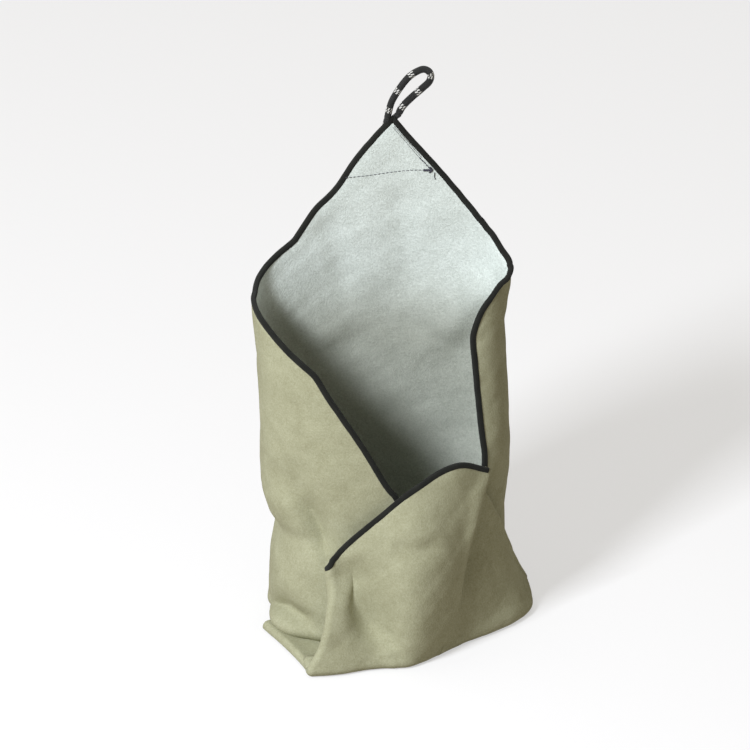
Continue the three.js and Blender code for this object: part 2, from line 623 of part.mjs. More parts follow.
const LEFT_LEG = -6;
const RIGHT_LEG = 2.3;
const tapeCrest = TIP_HEIGHT + TAPE_OUTSIDE * Math.SQRT2;
const leftLegFoot = tapeCrest + LEFT_LEG + CORD_END_DIAMETER / 2 + CORD_CLEARANCE;
const rightLegFoot = tapeCrest + CORD_CLEARANCE;
const loopTop = leftLegFoot + LOOP_HEIGHT;
const loopPoints = [
  [LEFT_LEG, leftLegFoot], [LEFT_LEG + 0.4, leftLegFoot + 2], [-4.2, leftLegFoot + 9.3],
  [-2.5, leftLegFoot + 15.4], [0.4, leftLegFoot + 21.6], [LOOP_LEAN - 19.7, loopTop - 11.6],
  [LOOP_LEAN - 15.8, loopTop - 6.6], [LOOP_LEAN - 11.4, loopTop - 2.8], [LOOP_LEAN - 5.2, loopTop],
  [LOOP_LEAN - 1.4, loopTop - 1.5], [LOOP_LEAN + 0.3, loopTop - 5], [LOOP_LEAN - 0.6, loopTop - 10],
  [LOOP_LEAN - 5.9, loopTop - 16], [12.1, leftLegFoot + 19.1], [5.6, leftLegFoot + 11.5],
  [RIGHT_LEG + 1, rightLegFoot + 2.4], [RIGHT_LEG, rightLegFoot],
].map(([x, z]) => new THREE.Vector3(x, TIP_DEPTH, z));
const loopCurve = new THREE.CatmullRomCurve3(loopPoints, false, 'centripetal');
const LOOP_STEPS = 34;
const loopPath = loopCurve.getSpacedPoints(LOOP_STEPS);
const loopRadii = loopPath.map((point, k) => {
  const isEnd = k === 0 || k === LOOP_STEPS;
  return (isEnd ? CORD_END_DIAMETER : CORD_DIAMETER) / 2;
});
addPiece('loop_cord', ringSolid(
  roundRings(loopPath, loopRadii, 10, new THREE.Vector3(0, 1, 0)), roundOutline(10),
), 'cord');

export default wrap;
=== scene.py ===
# Padded square wrap, standing folded and empty, dressed round its imported model.
# Places given here are in millimetres from the middle of the standing pouch; PLACE_SHIFT moves them
# to the frame's origin, and everything is built in metres.
import math

import bpy
import numpy as np
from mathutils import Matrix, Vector


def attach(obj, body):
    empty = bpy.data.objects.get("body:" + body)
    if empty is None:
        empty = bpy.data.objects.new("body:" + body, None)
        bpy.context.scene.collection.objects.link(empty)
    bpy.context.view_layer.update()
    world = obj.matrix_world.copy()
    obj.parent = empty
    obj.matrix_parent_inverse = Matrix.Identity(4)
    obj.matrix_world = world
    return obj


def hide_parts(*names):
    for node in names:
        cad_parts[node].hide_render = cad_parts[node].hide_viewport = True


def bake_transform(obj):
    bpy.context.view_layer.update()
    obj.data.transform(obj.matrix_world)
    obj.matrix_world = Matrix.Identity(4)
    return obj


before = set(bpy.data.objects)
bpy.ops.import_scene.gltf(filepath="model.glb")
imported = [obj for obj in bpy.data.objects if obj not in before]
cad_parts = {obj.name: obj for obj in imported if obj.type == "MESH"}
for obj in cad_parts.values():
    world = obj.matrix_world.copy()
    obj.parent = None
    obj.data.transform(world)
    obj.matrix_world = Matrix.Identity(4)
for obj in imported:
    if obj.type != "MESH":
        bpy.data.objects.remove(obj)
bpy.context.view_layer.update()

MM = 0.001
PLACE_SHIFT = np.array([4.33, 22.5, 0.0])

# Cloth
CLOTH_THICKNESS = 4.0
HALF_CLOTH = CLOTH_THICKNESS / 2
LAYER_PITCH = 4.9
FOOT = 4.6

# The standing wall, seen from above
LEFT_REACH = 98.6
RIGHT_REACH = 83.0
BACK_REACH = 50.0
FRONT_REACH = 60.0
WRAP_RIGHT_REACH = 72.0
BACK_LEFT_POWER = 2.6
BACK_RIGHT_POWER = 3.0
FRONT_LEFT_POWER = 2.4
FRONT_RIGHT_POWER = 2.0

# The top corner and the fold that it turns on
TOP_FOLD_HEIGHT = 306.0
TIP_HEIGHT = 394.9
TIP_ACROSS = -1.4
TIP_DEPTH = 45.0

# Bound edges
TAPE_REACH = 3.3
TAPE_OUTSIDE = 1.1
TAPE_HALF_THICKNESS = 2.05
PINCH_DEPTH = 0.8
PINCH_WIDTH = 5.0

# Hanging loop
MODEL_TIP_HEIGHT = 394.0
CORD_DIAMETER = 5.1
CORD_END_DIAMETER = 2.8
CORD_CLEARANCE = 0.9
LOOP_LEAN = 26.0
LOOP_HEIGHT = 43.0

# The photograph's frame: millimetres to a pixel, and the pixel of the pouch's middle at its foot
MM_PER_PIXEL = 0.74
PICTURE_SIDE = 750
PICTURE_FOOT = (395.0, 610.0)
CAMERA_DISTANCE = 22.0
elevation = math.radians(30.0)
slope = math.tan(elevation)


# Curves through given points

def padded(points):
    """The points with one more past each end, in line with the last two."""
    return np.concatenate([[2 * points[0] - points[1]], points, [2 * points[-1] - points[-2]]])


def weave_between(points, at):
    """Catmull-Rom through points (first axis) at places counted from 0 to the last point."""
    points = np.asarray(points, float)
    i = np.minimum(at.astype(int), len(points) - 2)
    t = at - i
    t = t.reshape(t.shape + (1,) * (points.ndim - 1))
    more = padded(points)
    a, b, c, d = (more[i + k] for k in range(4))
    return 0.5 * (
        2 * b + (c - a) * t + (2 * a - 5 * b + 4 * c - d) * t**2 + (3 * b - a - 3 * c + d) * t**3
    )


def along(points, share):
    last = len(points) - 1
    return weave_between(points, np.clip(np.asarray(share, float), 0, 1) * last)


def profile(pairs):
    """A smooth curve through (place, value) pairs, as a function of the place."""
    places = np.array([pair[0] for pair in pairs], float)
    values = np.array([pair[1] for pair in pairs], float)

    def at(place):
        place = np.asarray(place, float)
        return weave_between(values, np.interp(place, places, np.arange(len(places))))

    return at


def sheet_through(rows, across, up):
    """A grid of places on the sheet through given rows of points."""
    rows = np.asarray(rows, float)
    columns = along(rows.transpose(1, 0, 2), across)
    return along(columns.transpose(1, 0, 2), up)


def smooth_step(low, high, value):
    t = np.clip((value - low) / (high - low), 0, 1)
    return t * t * (3 - 2 * t)


def mix(a, b, t):
    return a + (b - a) * t


def unit(vectors):
    return vectors / np.maximum(np.linalg.norm(vectors, axis=-1, keepdims=True), 1e-9)


def run_along(points):
    """How far along a line of points each of them is."""
    return np.concatenate([[0], np.cumsum(np.linalg.norm(np.diff(points, axis=0), axis=1))])


# The standing wall

left_reach = profile([
    (0, LEFT_REACH - 4), (12, LEFT_REACH - 6.4), (30, LEFT_REACH - 7.6), (56, LEFT_REACH - 8.6),
    (72, LEFT_REACH - 11.4), (82, LEFT_REACH - 12), (94, LEFT_REACH - 6), (111, LEFT_REACH - 0.8),
    (180, LEFT_REACH), (222, LEFT_REACH + 2.4), (270, LEFT_REACH + 5.8), (306, LEFT_REACH + 5.4),
])
right_reach = profile([
    (0, RIGHT_REACH - 5), (83, RIGHT_REACH - 3.5), (160, RIGHT_REACH), (220, RIGHT_REACH - 4),
    (286, RIGHT_REACH + 1.5), (306, RIGHT_REACH + 1),
])
back_reach = profile([
    (0, BACK_REACH + 2), (120, BACK_REACH), (240, BACK_REACH - 3), (306, BACK_REACH - 4),
    (TIP_HEIGHT, TIP_DEPTH),
])
front_left_reach = profile([
    (0, FRONT_REACH + 5), (50, FRONT_REACH + 3), (100, FRONT_REACH), (306, FRONT_REACH),
])
front_right_reach = profile([
    (0, FRONT_REACH - 16), (60, FRONT_REACH - 10), (100, FRONT_REACH - 3), (120, FRONT_REACH),
    (306, FRONT_REACH),
])
FRONT_TURN = (155.0, 205.0)


def front_reach(angle, height):
    past = np.where(angle > 0, 360 - angle, -angle)
    share = smooth_step(FRONT_TURN[0], FRONT_TURN[1], past)
    return mix(front_left_reach(height), front_right_reach(height), share)


def wall_place(angle, height):
    """A point of the wall; the angle is 0 at the back, negative to the left, -180 at the front."""
    turn = np.radians(angle)
    side, back = np.sin(turn), np.cos(turn)
    is_left, is_front = side < 0, back < 0
    power = np.where(
        is_front,
        np.where(is_left, FRONT_LEFT_POWER, FRONT_RIGHT_POWER),
        np.where(is_left, BACK_LEFT_POWER, BACK_RIGHT_POWER),
    )
    right = np.where(is_front, WRAP_RIGHT_REACH, right_reach(height))
    reach_x = np.where(is_left, left_reach(height), right)
    reach_y = np.where(is_front, front_reach(angle, height), back_reach(height))
    x = np.sign(side) * reach_x * np.abs(side) ** (2 / power)
    y = np.sign(back) * reach_y * np.abs(back) ** (2 / power)
    return np.stack([x, y, height + 0 * x], axis=-1)


top_left_edge = profile([
    (TOP_FOLD_HEIGHT, -68), (319, -59), (333, -46), (346, -37.7), (357, -31.3), (370.6, -22.1),
    (380.8, -14.2), (388, -7.9), (TIP_HEIGHT, TIP_ACROSS),
])
top_right_edge = profile([
    (TOP_FOLD_HEIGHT, 68.5), (313, 62), (332, 48), (345, 37.5), (355.2, 29.5), (365.5, 21.2),
    (375.7, 12.9), (386, 5.3), (TIP_HEIGHT, TIP_ACROSS),
])


def angle_of(x, reach, power):
    return math.degrees(math.asin((abs(x) / reach) ** (power / 2)))


LEFT_FOLD_ANGLE = -angle_of(
    top_left_edge(TOP_FOLD_HEIGHT), left_reach(TOP_FOLD_HEIGHT), BACK_LEFT_POWER
)
RIGHT_FOLD_ANGLE = angle_of(
    top_right_edge(TOP_FOLD_HEIGHT), right_reach(TOP_FOLD_HEIGHT), BACK_RIGHT_POWER
)
TIP_ANGLE = -angle_of(TIP_ACROSS, left_reach(TOP_FOLD_HEIGHT), BACK_LEFT_POWER)
LEFT_WING_END_ANGLE = -225.0
left_wing_edge = profile([
    (-LEFT_FOLD_ANGLE, TOP_FOLD_HEIGHT), (41, 294.4), (56, 283.4), (70, 277), (88, 270.5), (113, 262.5),
    (132, 248), (149, 230), (159.6, 203), (166.4, 184), (173, 162), (180.5, 131.5), (195, 110),
    (211, 87), (-LEFT_WING_END_ANGLE, 62),
])

RIGHT_WING_ROWS = [
    (FOOT, [(76, 24, FOOT), (77, 5, FOOT), (69, -9, FOOT), (55, -18, FOOT)]),
    (70, [(77.5, 24, 70), (78.5, 5, 70), (69.5, -9, 70), (57, -19, 70)]),
    (105, [(79.5, 24, 105), (80.5, 5, 105), (72, -10, 105), (61, -22, 105)]),
    (140, [(80.5, 24, 140), (83.3, 6, 140), (78, -12, 140), (65.5, -26, 140)]),
    (190, [(80, 24, 190), (80.4, 6, 190), (73.5, -9, 190), (61, -20, 189)]),
    (235, [(78.5, 24, 235), (78.4, 8, 234), (70.5, -4, 233), (57, -14, 232)]),
    (262, [(79, 24, 258), (81.5, 11, 254), (74, -1, 251), (58.5, -12, 247)]),
    (285, [(79.5, 24, 279), (84.8, 14, 273), (78.5, 2, 268), (66, -8, 264)]),
    (306, [(79, 26, 294.5), (86, 18.5, 287.5), (86, 9, 281.5), (79.5, 1, 276)]),
]
COLUMN_STEP = 5.0
right_wing_columns = profile(RIGHT_WING_ROWS)
top_drop = profile([(FOOT, 0), (235, 0), (262, 1), (TOP_FOLD_HEIGHT, 3.5)])


def right_wing_place(across, height):
    """The right wing past its fold, as a grid of heights by shares across."""
    first = wall_place(RIGHT_FOLD_ANGLE, height)
    second = wall_place(RIGHT_FOLD_ANGLE + COLUMN_STEP, height - top_drop(height))
    columns = np.concatenate([first[None], second[None], right_wing_columns(height).transpose(1, 0, 2)])
    return along(columns, across).transpose(1, 0, 2)


# Soft folds and dents, drawn where the photograph shows them

LINE_STEPS = 24
FAR_OFF = 1e9


def seen(points):
    """Pixels of the photograph as places across and places up its picture plane, in millimetres."""
    pixels = np.array(points, float)
    across = (pixels[:, 0] - PICTURE_FOOT[0]) * MM_PER_PIXEL
    rise = (PICTURE_FOOT[1] - pixels[:, 1]) * MM_PER_PIXEL / math.cos(elevation)
    return np.stack([across, rise], axis=-1)


def picture_place(grid):
    """Where each point of a grid lands in the picture plane, in the units of seen()."""
    rise = grid[..., 2] + grid[..., 1] * slope
    return np.stack([grid[..., 0], rise], axis=-1)


def soft_line(places, points, width):
    """How near each place is to a line through pixels: 1 on it, fading over width and at its ends.

    A pair of widths is for the left and the right of the line's own direction.
    """
    left_width, right_width = width if isinstance(width, tuple) else (width, width)
    line = along(seen(points), np.linspace(0, 1, LINE_STEPS))
    steps = np.diff(line, axis=0)
    lengths = np.linalg.norm(steps, axis=1)
    before = run_along(line)
    nearest = np.full(places.shape[:-1], FAR_OFF)
    share = np.zeros(places.shape[:-1])
    fade = np.full(places.shape[:-1], float(left_width))
    for start, step, length, so_far in zip(line[:-1], steps, lengths, before):
        offset = places - start
        t = np.clip((offset @ step) / length**2, 0, 1)
        distance = np.linalg.norm(offset - t[..., None] * step, axis=-1)
        closer = distance < nearest
        nearest = np.where(closer, distance, nearest)
        share = np.where(closer, (so_far + t * length) / before[-1], share)
        is_left = step[0] * offset[..., 1] - step[1] * offset[..., 0] > 0
        fade = np.where(closer, np.where(is_left, left_width, right_width), fade)
    ends = smooth_step(-0.05, 0.3, share) * smooth_step(1.05, 0.7, share)
    return np.exp(-((nearest / fade) ** 2)) * (0.25 + 0.75 * ends)


def relief(grid, folds):
    places = picture_place(grid)
    height = np.zeros(grid.shape[:-1])
    for points, width, lift in folds:
        height += lift * soft_line(places, points, width)
    return height


WAVES = [
    (0.031, 0.017, 0.012, 0.3), (-0.019, 0.027, 0.021, 1.9), (0.043, -0.022, 0.034, 4.1),
    (0.012, 0.049, -0.041, 2.6), (-0.057, 0.008, 0.049, 5.2), (0.071, 0.052, 0.018, 0.9),
    (-0.033, -0.064, 0.077, 3.3),
]


def ripple(grid):
    """Slow uneven swelling of the cloth, from about -1 to 1."""
    total = np.zeros(grid.shape[:-1])
    for x, y, z, phase in WAVES:
        turn = (grid @ np.array([x, y, z])) * 2.2 + phase
        total += np.sin(turn + 0.7 * np.sin(1.7 * turn + phase))
    return total / len(WAVES) * 1.6


# Grids of places on the cloth; rows run up, columns run across

def cloth_normals(grid, side):
    """Directions to the outer face; side is 1 where across x up points there, else -1."""
    return side * unit(np.cross(np.gradient(grid, axis=1), np.gradient(grid, axis=0)))


def lifted(grid, side, height):
    return grid + cloth_normals(grid, side) * height[..., None]


TURN_STEPS = 8
LEG_STEPS = 5


def turned_margin(edge, inner, out, radius, turn, leg, is_level=False):
    """Strips of places past an edge where the cloth turns away from its outer face."""
    beyond = edge - inner
    if is_level:
        beyond = np.zeros_like(edge) + [0, 0, -1.0]
        out = unit(out * [1, 1, 0])
    beyond = unit(beyond - out * np.sum(beyond * out, axis=-1, keepdims=True))
    radius = np.broadcast_to(radius, edge.shape[:-1])[..., None]
    turn = math.radians(turn)
    strips = []
    for k in range(1, TURN_STEPS + 1):
        a = turn * k / TURN_STEPS
        strips.append(edge + radius * (math.sin(a) * beyond - (1 - math.cos(a)) * out))
    heading = math.cos(turn) * beyond - math.sin(turn) * out
    leg = np.broadcast_to(leg, edge.shape[:-1])[..., None]
    end = strips[-1]
    for k in range(1, LEG_STEPS + 1):
        strips.append(end + heading * leg * k / LEG_STEPS)
    return np.array(strips)


def with_margin(grid, place, side, radius, turn, leg, is_level=False):
    """The grid with a turned margin added at its foot or its end."""
    out = cloth_normals(grid, side)
    if place == "foot":
        strips = turned_margin(grid[0], grid[1], out[0], radius, turn, leg, is_level)
        return np.concatenate([strips[::-1], grid])
    strips = turned_margin(grid[:, -1], grid[:, -2], out[:, -1], radius, turn, leg)
    return np.concatenate([grid, strips.transpose(1, 0, 2)], axis=1)


def distance_to(grid, lines):
    """How far each point of a grid is from the nearest point of some lines."""
    nearest = np.full(grid.shape[:-1], FAR_OFF)
    for point in np.concatenate(lines):
        nearest = np.minimum(nearest, np.linalg.norm(grid - point, axis=-1))
    return nearest


def pinch(grid, lines):
    """Half the cloth's thickness, less under the tape."""
    near = np.exp(-((distance_to(grid, lines) / PINCH_WIDTH) ** 2))
    return HALF_CLOTH - PINCH_DEPTH * near


# Meshes

def placed(name, data):
    made = bpy.data.objects.new(name, data)
    bpy.context.scene.collection.objects.link(made)
    return made


def new_object(name, vertices, faces):
    mesh = bpy.data.meshes.new(name)
    mesh.from_pydata((np.asarray(vertices) + PLACE_SHIFT) * MM, [], faces)
    mesh.validate()
    mesh.polygons.foreach_set("use_smooth", [True] * len(mesh.polygons))
    return placed(name, mesh)


def cloth_layer(name, grid, side, low, high):
    """A closed layer of cloth between two distances from the grid, towards the outer face."""
    out = cloth_normals(grid, side)
    low = np.broadcast_to(low, grid.shape[:-1])[..., None]
    high = np.broadcast_to(high, grid.shape[:-1])[..., None]
    rows, columns = grid.shape[:2]
    top = (grid + out * high).reshape(-1, 3)
    bottom = (grid + out * low).reshape(-1, 3)
    index = np.arange(rows * columns).reshape(rows, columns)
    quads = np.stack([index[:-1, :-1], index[:-1, 1:], index[1:, 1:], index[1:, :-1]], -1).reshape(-1, 4)
    count = rows * columns
    faces = np.concatenate([quads, quads[:, ::-1] + count])
    rim = np.concatenate([index[0], index[1:, -1], index[-1, -2::-1], index[-2:0:-1, 0]])
    after = np.roll(rim, -1)
    faces = np.concatenate([faces, np.stack([rim + count, after + count, after, rim], -1)])
    if side < 0:
        faces = faces[:, ::-1]
    return new_object(name, np.concatenate([top, bottom]), faces.tolist())


def tube(name, rings):
    """A tube through rings of points; its UV map runs along it in millimetres and round it from 0 to 1."""
    rings = np.asarray(rings)
    count, sides = rings.shape[:2]
    index = np.arange(count * sides).reshape(count, sides)
    nxt = np.roll(index, -1, axis=1)
    faces = np.stack([index[:-1], nxt[:-1], nxt[1:], index[1:]], -1).reshape(-1, 4).tolist()
    faces += [index[0, ::-1].tolist(), index[-1].tolist()]
    made = new_object(name, rings.reshape(-1, 3), faces)
    middle = rings.mean(axis=1)
    length = run_along(middle)
    layer = made.data.uv_layers.new(name="along")
    for polygon in made.data.polygons:
        spots = [divmod(v, sides) for v in polygon.vertices]
        wraps = polygon.loop_total == 4 and {s[1] for s in spots} == {0, sides - 1}
        for loop, (ring, spot) in zip(polygon.loop_indices, spots):
            around = 1.0 if wraps and spot == 0 else spot / sides
            layer.data[loop].uv = (length[ring], around)
    return made


def folded_back(grid, place, side, radius, count):
    """The grid with its margin folded back behind it: a half turn, then count rows or columns."""
    if place == "start":
        return folded_back(grid.transpose(1, 0, 2), "foot", -side, radius, count).transpose(1, 0, 2)
    if place == "top":
        return folded_back(grid[::-1], "foot", -side, radius, count)[::-1]
    out = cloth_normals(grid, side)
    behind = grid - 2 * radius * out
    turn = turned_margin(grid[0], grid[1], out[0], radius, 180, 0)[:TURN_STEPS]
    turn[-1] = behind[0]
    return np.concatenate([behind[count:0:-1], turn[::-1], grid])


def raised(columns, up, foot):
    """Rows of a sheet whose first row is level at the height foot; columns hold given points."""
    grid = []
    fine = np.linspace(0, 1, 200)
    for column in columns:
        heights = along(column, fine)[:, 2]
        first = np.interp(foot, heights, fine)
        grid.append(along(column, first + (1 - first) * up))
    return np.array(grid).transpose(1, 0, 2)


# Camera

def plane_point(across, rise):
    """The point of the pouch's middle plane that a place in the picture plane shows."""
    return Vector(((np.array([across, 0, rise]) + PLACE_SHIFT) * MM).tolist())


middle = PICTURE_SIDE / 2
looked_at = seen([(middle, middle)])[0]
target = plane_point(looked_at[0], looked_at[1])
back_off = Vector((0, -math.cos(elevation), math.sin(elevation)))
camera_data = bpy.data.cameras.new("camera")
camera_data.sensor_width = 36
camera_data.lens = 36 * CAMERA_DISTANCE / (PICTURE_SIDE * MM_PER_PIXEL * MM)
camera_data.clip_start = 0.1
camera_data.clip_end = 100
camera = placed("camera", camera_data)
camera.location = target + back_off * CAMERA_DISTANCE
camera.rotation_euler = (-back_off).to_track_quat("-Z", "Y").to_euler()
bpy.context.scene.camera = camera


# Materials: node helpers

def tree_of(name):
    material = bpy.data.materials.new(name)
    material.use_nodes = True
    tree = material.node_tree
    tree.nodes.clear()
    surface = tree.nodes.new("ShaderNodeBsdfPrincipled")
    output = tree.nodes.new("ShaderNodeOutputMaterial")
    tree.links.new(surface.outputs["BSDF"], output.inputs["Surface"])
    return material, tree, surface


def fill(tree, node, sockets):
    """Sets a node's sockets by name or number; a value that is a socket is linked."""
    for key, value in sockets.items():
        if isinstance(value, bpy.types.NodeSocket):
            tree.links.new(value, node.inputs[key])
        else:
            node.inputs[key].default_value = value


def add_node(tree, kind, sockets=None, **settings):
    node = tree.nodes.new(kind)
    for key, value in settings.items():
        setattr(node, key, value)
    fill(tree, node, sockets or {})
    return node


def math_node(tree, operation, first, second=0.5, third=0.5):
    sockets = {0: first, 1: second}
    if operation in {"MULTIPLY_ADD", "COMPARE"}:
        sockets[2] = third
    return add_node(tree, "ShaderNodeMath", operation=operation, sockets=sockets).outputs[0]


def wave(tree, value, turns):
    return math_node(tree, "SINE", math_node(tree, "MULTIPLY", value, 2 * math.pi * turns))


def spread(tree, value, low, high, new_low=0.0, new_high=1.0):
    return add_node(tree, "ShaderNodeMapRange", sockets={
        "Value": value, "From Min": low, "From Max": high, "To Min": new_low, "To Max": new_high,
    }).outputs["Result"]


def noise(tree, place, scale, detail=2.0, roughness=0.5, distortion=0.0):
    return add_node(tree, "ShaderNodeTexNoise", sockets={
        "Vector": place, "Scale": scale, "Detail": detail, "Roughness": roughness,
        "Distortion": distortion,
    }).outputs["Fac"]


def blend_colours(tree, share, first, second, how="MIX"):
    return add_node(tree, "ShaderNodeMix", data_type="RGBA", blend_type=how, sockets={
        0: share, 6: first, 7: second,
    }).outputs[2]


def linear(red, green, blue):
    """A colour measured in a picture, 0 to 255, as the renderer's linear values."""
    out = []
    for value in (red, green, blue):
        share = value / 255
        out.append(share / 12.92 if share <= 0.04045 else ((share + 0.055) / 1.055) ** 2.4)
    return (*out, 1.0)


def bumped(tree, height, strength, distance):
    """The normal of a bump of some height."""
    return add_node(tree, "ShaderNodeBump", sockets={
        "Strength": strength, "Distance": distance, "Height": height,
    }).outputs["Normal"]


def along_and_round(tree):
    """Millimetres along a tube and the share of the way round it."""
    along_map = add_node(tree, "ShaderNodeUVMap", uv_map="along").outputs["UV"]
    return add_node(tree, "ShaderNodeSeparateXYZ", sockets={0: along_map}).outputs[:2]


def seen_directly(tree):
    """1 where the camera, a mirror or glass sees the surface, and 0 for light that falls on others."""
    path = tree.nodes.new("ShaderNodeLightPath").outputs
    direct = math_node(tree, "MAXIMUM", path["Is Camera Ray"], path["Is Glossy Ray"])
    return math_node(tree, "MAXIMUM", direct, path["Is Transmission Ray"])


def object_place(tree):
    return tree.nodes.new("ShaderNodeTexCoord").outputs["Object"]


def new_group(name, tree_kind, inputs, outputs):
    """A node group whose sockets are (name, kind, value); gives its tree, input and output nodes."""
    group = bpy.data.node_groups.new(name, tree_kind)
    for way, sockets in (("INPUT", inputs), ("OUTPUT", outputs)):
        for socket_name, kind, value in sockets:
            socket = group.interface.new_socket(socket_name, in_out=way, socket_type="NodeSocket" + kind)
            if value is not None:
                socket.default_value = value
    return group, group.nodes.new("NodeGroupInput"), group.nodes.new("NodeGroupOutput")


# Brushed cloth: slow mottling, a fine nap of short hairs, and worn light or dark brush marks

MOTTLE_SCALE = 38.0
BRUSH_SCALE = 120.0
NAP_SCALE = 720.0
GRAIN_SCALE = 1700.0
NAP_RELIEF = 0.0006


def two_noises(tree, coarse, fine):
    """Two noises as one, stretched over 0 to 1."""
    both = math_node(tree, "MULTIPLY_ADD", fine, 0.45, math_node(tree, "MULTIPLY", coarse, 0.55))
    return spread(tree, both, 0.36, 0.64)


def brushed_cloth_group():
    group, ends, result = new_group("brushed_cloth", "ShaderNodeTree", [
        ("Place", "Vector", None), ("Base", "Color", None), ("Light", "Color", None),
        ("Dark", "Color", None), ("Nap size", "Float", 1.0), ("Mottle", "Float", 0.5),
        ("Speckle", "Float", 0.5), ("Depth", "Float", 0.2),
    ], [("Colour", "Color", None), ("Normal", "Vector", None), ("Nap", "Float", None)])
    given = ends.outputs
    place = given["Place"]
    scaled = add_node(group, "ShaderNodeVectorMath", operation="SCALE", sockets={
        0: place, "Scale": given["Nap size"],
    }).outputs[0]
    slow = two_noises(
        group, noise(group, place, MOTTLE_SCALE, 3.0, 0.55, 0.6),
        noise(group, place, BRUSH_SCALE, 3.0, 0.6, 0.8),
    )
    speck = two_noises(
        group, noise(group, scaled, NAP_SCALE, 2.0, 0.6), noise(group, scaled, GRAIN_SCALE, 1.0, 0.6),
    )
    shade = blend_colours(group, slow, given["Dark"], given["Light"])
    shade = blend_colours(group, given["Mottle"], given["Base"], shade)
    dots = blend_colours(group, speck, given["Dark"], given["Light"])
    fill(group, result, {
        "Colour": blend_colours(group, given["Speckle"], shade, dots),
        "Normal": bumped(group, speck, given["Depth"], NAP_RELIEF), "Nap": speck,
    })
    return group


# Painted shade: the lining darkens and warms between these heights, standing in for the shadow inside the
# pouch.
PAINTED_SHADE_BELOW = 0.288
PAINTED_SHADE_FULLY = 0.205
PAINTED_SHADE_COLOUR = (0.64, 0.62, 0.57, 1.0)


def painted_inside_shade(tree, colour):
    """A colour darkened and warmed lower down inside the pouch: painted shade for the shadow there."""
    height = add_node(tree, "ShaderNodeSeparateXYZ", sockets={0: object_place(tree)}).outputs[2]
    depth = add_node(tree, "ShaderNodeMapRange", interpolation_type="SMOOTHSTEP", sockets={
        "Value": height, "From Min": PAINTED_SHADE_BELOW, "From Max": PAINTED_SHADE_FULLY,
    }).outputs["Result"]
    return blend_colours(tree, depth, colour, PAINTED_SHADE_COLOUR, "MULTIPLY")


def brushed_material(name, base, light, dark, nap_size, mottle, speckle, depth, sheen, tint, has_painted_shade):
    material, tree, surface = tree_of(name)
    cloth = add_node(tree, "ShaderNodeGroup", node_tree=BRUSHED_CLOTH, sockets={
        "Place": object_place(tree), "Base": base, "Light": light, "Dark": dark,
        "Nap size": nap_size, "Mottle": mottle, "Speckle": speckle, "Depth": depth,
    })
    colour = cloth.outputs["Colour"]
    # Painted shade lower down inside the pouch.
    if has_painted_shade:
        colour = painted_inside_shade(tree, colour)
    fill(tree, surface, {
        "Base Color": colour, "Normal": cloth.outputs["Normal"],
        "Roughness": spread(tree, cloth.outputs["Nap"], 0, 1, 0.98, 0.86),
        "Specular IOR Level": 0.12, "Sheen Weight": sheen, "Sheen Roughness": 0.6, "Sheen Tint": tint,
    })
    return material


BRUSHED_CLOTH = brushed_cloth_group()
suede = brushed_material(
    "khaki_suede", linear(167, 168, 139), linear(187, 188, 160), linear(138, 136, 106),
    1.0, 0.42, 0.4, 0.3, 0.05, linear(225, 222, 195), False,
)
# The lining gets painted shade lower down inside the pouch; the suede does not.
fleece = brushed_material(
    "grey_fleece", linear(211, 220, 215), linear(231, 240, 235), linear(177, 185, 178),
    0.85, 0.35, 0.5, 0.45, 0.12, linear(235, 240, 236), True,
)


# Woven tape: cross ribs along the "along" map, with a fine twist of threads

RIB_PITCH = 0.75
RIB_THREADS = 22


def tape_material():
    material, tree, surface = tree_of("black_tape")
    run, round_share = along_and_round(tree)
    ribs = wave(tree, run, 1 / RIB_PITCH)
    threads = wave(tree, round_share, RIB_THREADS)
    weave = math_node(tree, "MULTIPLY_ADD", threads, 0.3, ribs)
    fuzz = noise(tree, object_place(tree), 1800.0, 2.0, 0.6)
    height = math_node(tree, "MULTIPLY_ADD", fuzz, 0.8, weave)
    worn = spread(tree, noise(tree, object_place(tree), 90.0, 3.0, 0.6), 0.35, 0.7)
    tone = spread(tree, height, -1.0, 1.6)
    colour = blend_colours(tree, tone, linear(12, 13, 11), linear(34, 35, 31))
    colour = blend_colours(tree, math_node(tree, "MULTIPLY", worn, 0.35), colour, linear(46, 47, 42))
    fill(tree, surface, {
        "Base Color": colour, "Normal": bumped(tree, height, 0.55, 0.00025), "Roughness": 0.8,
        "Specular IOR Level": 0.15, "Sheen Weight": 0.05, "Sheen Roughness": 0.5,
    })
    return material


# Braided cord: two sets of strands crossing, with light flecks where the tracer comes up

BRAID_PITCH = 5.4
BRAID_STRANDS = 8
FLECK_RING_PITCH = 17.2
FLECK_RING_START = 9.3
FLECKS_ROUND = 7
FLECK_LENGTH = 2.2
FLECK_SHARE = 0.5
FLECK_SLANT = 0.16


